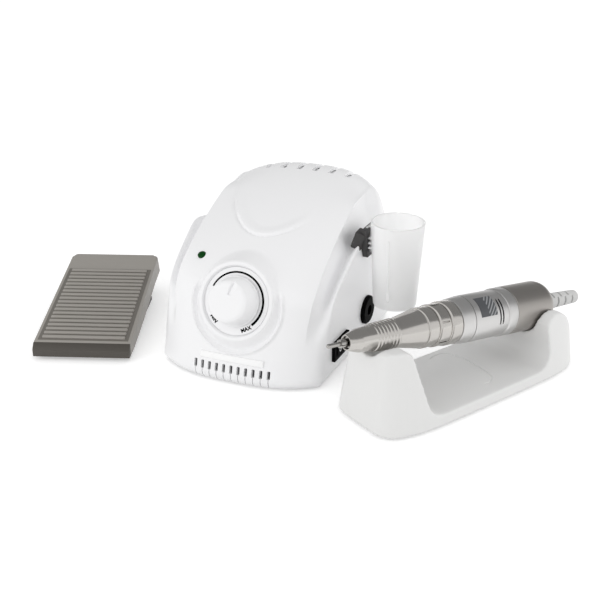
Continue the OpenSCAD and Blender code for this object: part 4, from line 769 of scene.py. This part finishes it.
def makeHandpiece():
    h = hand
    pitch = h["gripLength"] / h["grips"]
    line = [h["tipBore"], (h["tipBore"][0], 0.1), (h["tipR"], 0.0), (h["tipR"] + 1, 3), (h["gripLow"] - 0.7, 7),
            (h["gripLow"], h["gripFrom"])]
    for k in range(h["grips"]):
        low = h["gripLow"] + (h["gripHigh"] - h["gripLow"]) * k / h["grips"]
        at = h["gripFrom"] + k * pitch
        line += [(low + h["gripLift"] * lift, at + share * pitch) for lift, share in h["gripShape"]]
    line += [(h["gripHigh"], h["gripFrom"] + h["gripLength"]), (h["noseEndR"], h["noseEnd"] - h["gap"]),
             (h["noseIn"], h["noseEnd"] - h["gap"])]
    nose = turned(softCorners(line, 0.3), handFrame)
    finishPiece(nose, "noseCone", "handpiece", "silver", "nose_cone")
    third = (h["collarEnd"] - h["noseEnd"]) / h["collarRings"]
    line = [(h["collarIn"], h["noseEnd"] + 0.1)]
    for k in range(h["collarRings"]):
        r = h["collarR"][0] + (h["collarR"][1] - h["collarR"][0]) * k / (h["collarRings"] - 1)
        at = h["noseEnd"] + k * third
        sunk = r - h["collarStep"]
        line += [(sunk, at + 0.1), (sunk, at + 0.8), (r, at + 1.2), (r, at + third - 0.5)]
    line += [(h["collarR"][1] - 0.6, h["collarEnd"] - h["gap"]), (h["collarIn"], h["collarEnd"] - h["gap"])]
    line = softCorners(line, 0.25, closed=True)
    collar = turned(line + line[:1], Matrix.Identity(4))
    notches = []
    for k in range(h["notches"]):
        spot = moved(h["collarR"][0] + h["notchOut"], 0, h["noseEnd"] + 1.5 * third)
        spot = Matrix.Rotation(2 * pi * k / h["notches"], 4, "Z") @ spot
        notches.append(block((*h["notch"], third - h["notchLess"]), spot, h["notchRound"]))
    carve(collar, notches)
    finishPiece(putAt(collar, handFrame), "lockCollar", "collar", "silver", "lock_collar")
    inner, outer = h["bandIn"]
    band = softCorners([(inner, h["noseEnd"] + 0.4), (inner, h["collarEnd"]), (h["collarR"][1] + 0.2, h["collarEnd"]),
                        (h["barrelR"] - 0.15, h["bandEnd"] - h["gap"]), (outer, h["bandEnd"] - h["gap"])], 0.35)
    finishPiece(turned(band, handFrame), "frontBand", "handpiece", "satin_silver", "front_band")
    ring = softCorners([(h["seatIn"], h["barrelEnd"]), (h["barrelR"], h["barrelEnd"]),
                        (h["ringR"], h["barrelEnd"] + 1), (h["ringR"], h["ringEnd"] - h["gap"]),
                        (h["seatIn"], h["ringEnd"] - h["gap"])], 0.4)
    finishPiece(turned(ring, handFrame), "rearRing", "handpiece", "satin_silver", "rear_ring")
    sleeve = [(h["seatIn"], h["ringEnd"]), (h["sleeveR"] - 0.3, h["ringEnd"]), (h["sleeveR"], h["ringEnd"] + 0.3)]
    for k in range(h["sleeveSteps"] + 1):
        a = radians(90 * k / h["sleeveSteps"])
        sleeve.append((h["sleeveR"] - h["sleeveRound"] * (1 - cos(a)),
                       h["sleeveEnd"] - h["sleeveRound"] * (1 - sin(a))))
    sleeve += [(h["tailR"], h["sleeveEnd"]), (h["tailR"], h["sleeveEnd"] - h["tailDeep"])]
    finishPiece(turned(sleeve, handFrame), "rearSleeve", "handpiece", "grey_coat", "rear_sleeve")
    line = softCorners([(h["barrelIn"], h["bandEnd"]), (h["skinR"], h["bandEnd"]),
                        (h["skinR"], h["barrelEnd"] - 0.1), (h["barrelIn"], h["barrelEnd"] - 0.1)], 0.1, closed=True)
    barrel = turned(line + line[:1], Matrix.Identity(4))
    slits = []
    for turn in (h["slitTurn"], h["slitTurn"] + 180):
        for at in h["slits"]:
            spot = Matrix.Rotation(radians(turn), 4, "Z") @ moved(h["barrelR"], 0, at)
            slits.append(block(h["slit"], spot))
    carve(barrel, slits)
    finishPiece(putAt(barrel, handFrame), "barrelTube", "handpiece", "satin_silver", "barrel")
    # A black band inside the barrel shows through its slits as painted shade
    low, high = h["shadeSpan"]
    inner = h["shadeR"] - h["shadeThick"]
    line = [(h["shadeR"], low), (h["shadeR"], high), (inner, high), (inner, low)]
    finishPiece(turned(line + line[:1], handFrame), "slitShade", "handpiece", "black_plastic")


makeHandpiece()
print("handpiece made")


# Bit cup with its lug, ribs and mould mark, and the bracket with its hook and its lower corners cut away
cup = dict(
    foot=13.0, top=16.0, height=52.0, wall=1.4, floor=6.5,
    markAt=-93.0, markR=0.5, markFrom=9.0, markTo=45.0, drop=(1.5, 0.7, 3.6),
    markHighlightTone=(255, 255, 255), markRough=0.12, markCoat=1.0,
    bracket=(20.0, 18.0, 3.2), bracketAt=(1.0, 68.6), cornerLow=5.5, cornerHigh=1.0,
    lug=(8.4, 16.0, 1.0), lugLow=2.3, lugOut=0.9, stem=4.8, stemOut=5.2,
    ribs=(3.4, 0.4, -2.6), rib=(13.0, 0.9, 2.2), ribOut=0.2, ribRound=0.25,
    hook=(6.5, 9.0, 10.5), hookAt=(53.6, -6.0, 71.0), hookLean=18.0, hookRound=0.9,
)


def makeCup():
    c = cup
    line = softCorners([(0, 0.8), (c["foot"] - 1, 0.8), (c["foot"] - 0.9, 0), (c["foot"], 0), (c["top"], c["height"]),
                        (c["top"] - c["wall"], c["height"]), (c["foot"] - c["wall"] + 0.4, c["floor"]),
                        (0, c["floor"])], 0.35)
    pieces = [turned(line, Matrix.Translation(cupPoint), steps=128)]
    wall = sidePlace(*c["bracketAt"])
    wide, tall, thick = c["lug"]
    middle = -c["bracket"][1] / 2 + c["lugLow"] + tall / 2
    for across, deep in ((wide, thick), (c["stem"], c["stemOut"] - c["lugOut"])):
        pieces.append(block((across, tall, deep), wall @ moved(0, middle, c["lugOut"] + deep / 2)))
    a = radians(c["markAt"])
    draft = (c["top"] - c["foot"]) / c["height"]

    def markPlace(z):
        r = c["foot"] + draft * z
        spot = Matrix.Translation(cupPoint) @ moved(r * cos(a), r * sin(a), z) @ Matrix.Rotation(a + pi / 2, 4, "Z")
        return spot @ Matrix.Rotation(draft, 4, "X")

    middle = (c["markFrom"] + c["markTo"]) / 2
    marks = [rod(c["markR"], c["markTo"] - c["markFrom"], markPlace(middle), sides=16)]
    restAll()
    bpy.ops.mesh.primitive_uv_sphere_add(radius=mm, segments=32, ring_count=20)
    bpy.context.object.scale = c["drop"]
    bpy.ops.object.transform_apply(location=False, rotation=False, scale=True)
    marks.append(putAt(bpy.context.object, markPlace(c["markFrom"])))
    # The clear cup's shadow would darken the wall more than in the photograph
    finishPiece(joinAll(pieces), "bitCup", "cup", "cup_plastic", "bit_cup").visible_shadow = False
    # The mould mark's opaque pure white is a painted highlight along it
    mark = finishPiece(joinAll(marks), "cupMark", "cup", "cup_plastic")
    ownFinish(mark, "mark_highlight_white", c["markHighlightTone"], c["markRough"], coat=c["markCoat"])
    out = c["bracket"][2] + c["rib"][2] / 2 + c["ribOut"]
    ribs = [block(c["rib"], wall @ moved(0, y, out), c["ribRound"]) for y in c["ribs"]]
    finishPiece(joinAll(ribs), "cupRibs", "cup", "white_plastic")
    bracket = cadCopy("cup_bracket")
    half, halfTall = c["bracket"][0] / 2, c["bracket"][1] / 2
    for side in (-1, 1):
        away = Vector((side * (halfTall + c["cornerHigh"]), c["cornerLow"] - half, 0)).normalized()
        openMesh()
        bpy.ops.mesh.bisect(plane_co=wall @ Vector((side * half * mm, c["cornerHigh"] * mm, 0)),
                            plane_no=wall.to_3x3() @ away, use_fill=True, clear_outer=True)
        closeMesh()
    breakEdges(bracket)
    hook = block(c["hook"], moved(*c["hookAt"]) @ Matrix.Rotation(radians(c["hookLean"]), 4, "Y"), c["hookRound"])
    finishPiece(joinAll([bracket, hook]), "cupBracket", "unit", "dark_plastic", "cup_bracket")


makeCup()
print("cup made")


# White marks of the rocker, a ring on its pressed half and a bar on the raised one
rocker = dict(pivot=1.0, face=1.6, slope=-22.0, ring=(0.9, 1.4), bar=(0.5, 2.4), away=3.8, thick=0.06)


def makeRockerMarks():
    r = rocker
    hub = sidePlace(rockerPoint.y / mm, rockerPoint.z / mm) @ moved(0, 0, r["pivot"])
    low, high = r["ring"]
    line = [(low, 0), (high, 0), (high, r["thick"]), (low, r["thick"]), (low, 0)]
    raised = hub @ Matrix.Rotation(radians(r["slope"]), 4, "Y")
    ring = turned(line, hub @ moved(-r["away"], 0, r["face"]), steps=48)
    stroke = block((*r["bar"], 2 * r["thick"]), raised @ moved(r["away"], 0, r["face"]))
    finishPiece(joinAll([ring, stroke]), "rockerMarks", "rocker", "white_plastic")


makeRockerMarks()
print("rocker marked")


# Cradle: the imported body remeshed and smoothed to a moulding's soft edges, with a line cut in its floor and its
# white painted greyer as shade
cradle = dict(
    voxel=0.9, rounds=6, factor=0.5, grow=(1.035, 1.03), colour=(231, 231, 230), rough=0.34, grain=(900, 0.02),
    middle=(122.7, -26.5), turn=57.6, floor=6.6, lineR=0.6, lineSoft=3.0,
    line=((-3, 21.7), (1.8, 23.0), (5.4, 23.0), (8.6, 22.0), (10.7, 20.5), (12.5, 14.4), (13.4, 5.3), (12.6, -6.7),
          (11.8, -12.6), (8.8, -16.5), (4.9, -18.5), (1.8, -17.8)),
)


# A round wire through the given points, thickened as a curve and made a mesh
def wireTube(line, radius):
    drawWire(line)
    closeMesh()
    bpy.ops.object.convert(target="CURVE")
    curve = bpy.context.object
    curve.data.bevel_depth = radius * mm
    curve.data.bevel_resolution = 3
    curve.data.use_fill_caps = True
    bpy.ops.object.convert(target="MESH")
    return bpy.context.object


def makeCradle():
    c = cradle
    place = moved(*c["middle"], 0) @ Matrix.Rotation(radians(c["turn"]), 4, "Z")
    piece = cadCopy("cradle_body")
    putAt(piece, place @ Matrix.Diagonal((*c["grow"], 1, 1)) @ place.inverted())
    useModifier(piece, "REMESH", mode="VOXEL", voxel_size=c["voxel"] * mm, use_smooth_shade=True)
    useModifier(piece, "SMOOTH", factor=c["factor"], iterations=c["rounds"])
    soft = softCorners(c["line"], c["lineSoft"], steps=4)
    carve(piece, [putAt(wireTube([(a, b, c["floor"]) for a, b in soft], c["lineR"]), place)])
    finishPiece(piece, "cradleBody", "unit", "white_plastic", "cradle_body", angle=60)
    # The cradle's greyer white is painted shade
    ownFinish(piece, "cradle_shaded_white", c["colour"], c["rough"], grain=c["grain"])
    print("cradle made:", len(piece.data.polygons), "faces")


makeCradle()


# Treadle with round rear corners, raised ribs on a panel painted darker as the shade between them, and a front lip
# painted dark as shade
treadle = dict(
    hinge=(9.0, 3.9), front=(3.0, 8.6), rear=(103.7, 25.7), halfWidth=29.5,
    corner=3.5, cornerSteps=6, cornerTall=5, nearSide=0.05, nearRear=0.3,
    ribCount=19, ribFirst=9.2, ribLast=83.7, rib=(51.0, 2.5, 1.7), ribRound=0.75, ribUp=0.35,
    panel=(55.5, 80.0, 0.3), panelAt=46.4, panelUp=0.02, panelRound=0.1, lipShadeFrom=-5.0,
    upperTone=(156, 152, 146), lipShadeTone=(78, 74, 69), ribTone=(158, 154, 148), panelShadeTone=(114, 110, 104),
    upperRough=0.45, ribRough=0.42, grain=(2200, 0.12), ribGrain=(2200, 0.08),
)


# The treadle's front lip is painted dark as shade
def makeShadedLip():
    t = treadle
    finish = makeFinish("pedal_lip_shade", t["upperTone"], t["upperRough"], grain=t["grain"])
    made, wire = finish.node_tree.nodes, finish.node_tree.links
    place, along, under = (made.new(kind) for kind in (
        "ShaderNodeTexCoord", "ShaderNodeVectorMath", "ShaderNodeMath"))
    along.operation, under.operation = "DOT_PRODUCT", "LESS_THAN"
    along.inputs[1].default_value = pedalBack
    under.inputs[1].default_value = hingePoint.dot(pedalBack) + t["lipShadeFrom"] * mm
    wire.new(place.outputs["Object"], along.inputs[0])
    wire.new(along.outputs["Value"], under.inputs[0])
    blendColours(finish, under.outputs["Value"], t["upperTone"], t["lipShadeTone"])
    return finish


# Rounds the edges whose two ends, seen from the place, are wanted
def roundEdges(piece, place, offset, steps, wanted):
    back = place.inverted()
    keepOnly(piece)
    bpy.ops.object.mode_set(mode="EDIT")
    bpy.ops.mesh.select_mode(type="EDGE")
    bpy.ops.mesh.select_all(action="DESELECT")
    closeMesh()
    for edge in piece.data.edges:
        a, b = (back @ piece.data.vertices[v].co / mm for v in edge.vertices)
        edge.select = bool(wanted(a, b))
    bpy.ops.object.mode_set(mode="EDIT")
    bpy.ops.mesh.bevel(offset=offset * mm, segments=steps, affect="EDGES", clamp_overlap=True)
    closeMesh()


def makeTreadle():
    t = treadle
    (frontAt, frontUp), (rearAt, rearUp) = t["front"], t["rear"]
    origin = hingePoint - pedalBack * t["hinge"][0] * mm - Vector((0, 0, t["hinge"][1] * mm))
    flat = axes(origin, pedalSide, pedalBack, (0, 0, 1))

    def rearCorner(a, b):
        atSide = a.x * b.x > 0 and all(abs(abs(v.x) - t["halfWidth"]) < t["nearSide"] for v in (a, b))
        return atSide and min(a.y, b.y) > rearAt - t["nearRear"] and abs(a.z - b.z) > t["cornerTall"]

    piece = cadCopy("treadle")
    roundEdges(piece, flat, t["corner"], t["cornerSteps"], rearCorner)
    run = Vector((0, rearAt - frontAt, rearUp - frontUp)).normalized()
    top = flat @ moved(0, frontAt, frontUp) @ axes((0, 0, 0), (1, 0, 0), run, Vector((1, 0, 0)).cross(run))
    ribs = []
    for k in range(t["ribCount"]):
        along = t["ribFirst"] + (t["ribLast"] - t["ribFirst"]) * k / (t["ribCount"] - 1)
        ribs.append(block(t["rib"], top @ moved(0, along - frontAt, t["ribUp"]), t["ribRound"]))
    ribs = finishPiece(joinAll(ribs), "treadleRibs", "pedal", "pedal_plastic")
    ownFinish(ribs, "pedal_rib", t["ribTone"], t["ribRough"], grain=t["ribGrain"])
    # The darker panel under the ribs is painted shade between them
    panel = block(t["panel"], top @ moved(0, t["panelAt"] - frontAt, t["panelUp"]), t["panelRound"])
    finishPiece(panel, "treadleShadePanel", "pedal", "pedal_plastic")
    ownFinish(panel, "pedal_panel_shade", t["panelShadeTone"], t["ribRough"], grain=t["grain"])
    breakEdges(piece)
    finishPiece(piece, "pedalTreadle", "pedal", "pedal_plastic", "treadle")
    piece.data.materials[0] = makeShadedLip()


def makeSpring():
    piece = finishPiece(cadCopy("return_spring"), "returnSpring", "unit", "steel", "return_spring", angle=60)
    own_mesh(piece)


makeTreadle()
makeSpring()
print("pedal made")


# Floor, world, lamps and camera
stageSettings = dict(
    floorZ=-1.5, floorSize=12.0, worldLight=0.77,
    lamps=(("keyLamp", 6.6, (-0.7, -1.35, 0.6), 1.2), ("fillLamp", 6.5, (1.5, 0.3, 0.35), 1.2)),
    lampAim=(0.02, 0, 0.04), floorTone=0.86, floorGlow=0.38,
    cardR=1.6, cardWide=1.5, cardSteps=24, cardFrom=8.0, cardTo=118.0, cardReflectionLevel=0.33,
    cameraAt=(211.28, -505.06, 275.0), cameraTurn=(65.0, 0.0, 21.4), lens=57.0, sensor=36.0, clipStart=0.01,
)


def emptyFinish(name):
    finish = bpy.data.materials.new(name)
    finish.use_nodes = True
    finish.node_tree.nodes.clear()
    return finish, finish.node_tree.nodes, finish.node_tree.links


def seenWhite(made, wire):
    path = made.new("ShaderNodeLightPath")
    first, second = made.new("ShaderNodeMath"), made.new("ShaderNodeMath")
    first.operation = second.operation = "MAXIMUM"
    wire.new(path.outputs["Is Camera Ray"], first.inputs[0])
    wire.new(path.outputs["Is Glossy Ray"], first.inputs[1])
    wire.new(first.outputs["Value"], second.inputs[0])
    wire.new(path.outputs["Is Transmission Ray"], second.inputs[1])
    return second.outputs["Value"]


def makeStage():
    s = stageSettings
    restAll()
    bpy.ops.mesh.primitive_plane_add(size=s["floorSize"], location=(0, 0, s["floorZ"] * mm))
    floor = bpy.context.object
    floor.name = "floor"
    finish, made, wire = emptyFinish("floorPaper")
    paper, glow, both = (made.new("ShaderNode" + kind) for kind in ("BsdfDiffuse", "Emission", "AddShader"))
    paper.inputs["Color"].default_value = (s["floorTone"],) * 3 + (1,)
    scale = made.new("ShaderNodeMath")
    scale.operation = "MULTIPLY"
    scale.inputs[1].default_value = s["floorGlow"]
    end = made.new("ShaderNodeOutputMaterial")
    wire.new(seenWhite(made, wire), scale.inputs[0])
    wire.new(scale.outputs["Value"], glow.inputs["Strength"])
    wire.new(paper.outputs[0], both.inputs[0])
    wire.new(glow.outputs[0], both.inputs[1])
    wire.new(both.outputs[0], end.inputs["Surface"])
    floor.data.materials.append(finish)
    # A dimly glowing sheet behind and over the table, which only the shiny pieces see: a painted dark reflection on
    # them
    bpy.ops.mesh.primitive_grid_add(x_subdivisions=1, y_subdivisions=s["cardSteps"], size=2)
    card = bpy.context.object
    for v in card.data.vertices:
        a = radians(s["cardFrom"] + (s["cardTo"] - s["cardFrom"]) * (v.co.y + 1) / 2)
        v.co = (v.co.x * s["cardR"] * s["cardWide"], s["cardR"] * cos(a), s["cardR"] * sin(a))
    card.name = "darkReflectionCard"
    card.visible_camera = card.visible_diffuse = card.visible_shadow = card.visible_transmission = False
    finish, made, wire = emptyFinish("cardReflectionGlow")
    glow, end = made.new("ShaderNodeEmission"), made.new("ShaderNodeOutputMaterial")
    glow.inputs["Strength"].default_value = s["cardReflectionLevel"]
    wire.new(glow.outputs[0], end.inputs["Surface"])
    card.data.materials.append(finish)
    world = bpy.data.worlds.new("studio")
    bpy.context.scene.world = world
    world.use_nodes = True
    made, wire = world.node_tree.nodes, world.node_tree.links
    sky = made["Background"]
    level = made.new("ShaderNodeMapRange")
    level.inputs["To Min"].default_value = s["worldLight"]
    level.inputs["To Max"].default_value = 1.0
    wire.new(seenWhite(made, wire), level.inputs["Value"])
    wire.new(level.outputs["Result"], sky.inputs["Strength"])
    sky.inputs["Color"].default_value = (1, 1, 1, 1)
    for name, power, at, size in s["lamps"]:
        restAll()
        bpy.ops.object.light_add(type="AREA", location=at)
        lamp = bpy.context.object
        lamp.name = name
        lamp.data.energy = power
        lamp.data.size = size
        lamp.visible_glossy = False
        lamp.rotation_euler = (Vector(s["lampAim"]) - Vector(at)).to_track_quat("-Z", "Y").to_euler()
    camera = bpy.data.objects.new("photoCamera", bpy.data.cameras.new("photoCamera"))
    bpy.context.scene.collection.objects.link(camera)
    camera.location = [v * mm for v in s["cameraAt"]]
    camera.rotation_euler = [radians(v) for v in s["cameraTurn"]]
    camera.data.lens = s["lens"]
    camera.data.sensor_width = s["sensor"]
    camera.data.clip_start = s["clipStart"]
    bpy.context.scene.camera = camera
    bpy.context.scene.view_settings.view_transform = "Standard"


makeStage()
print("stage made")
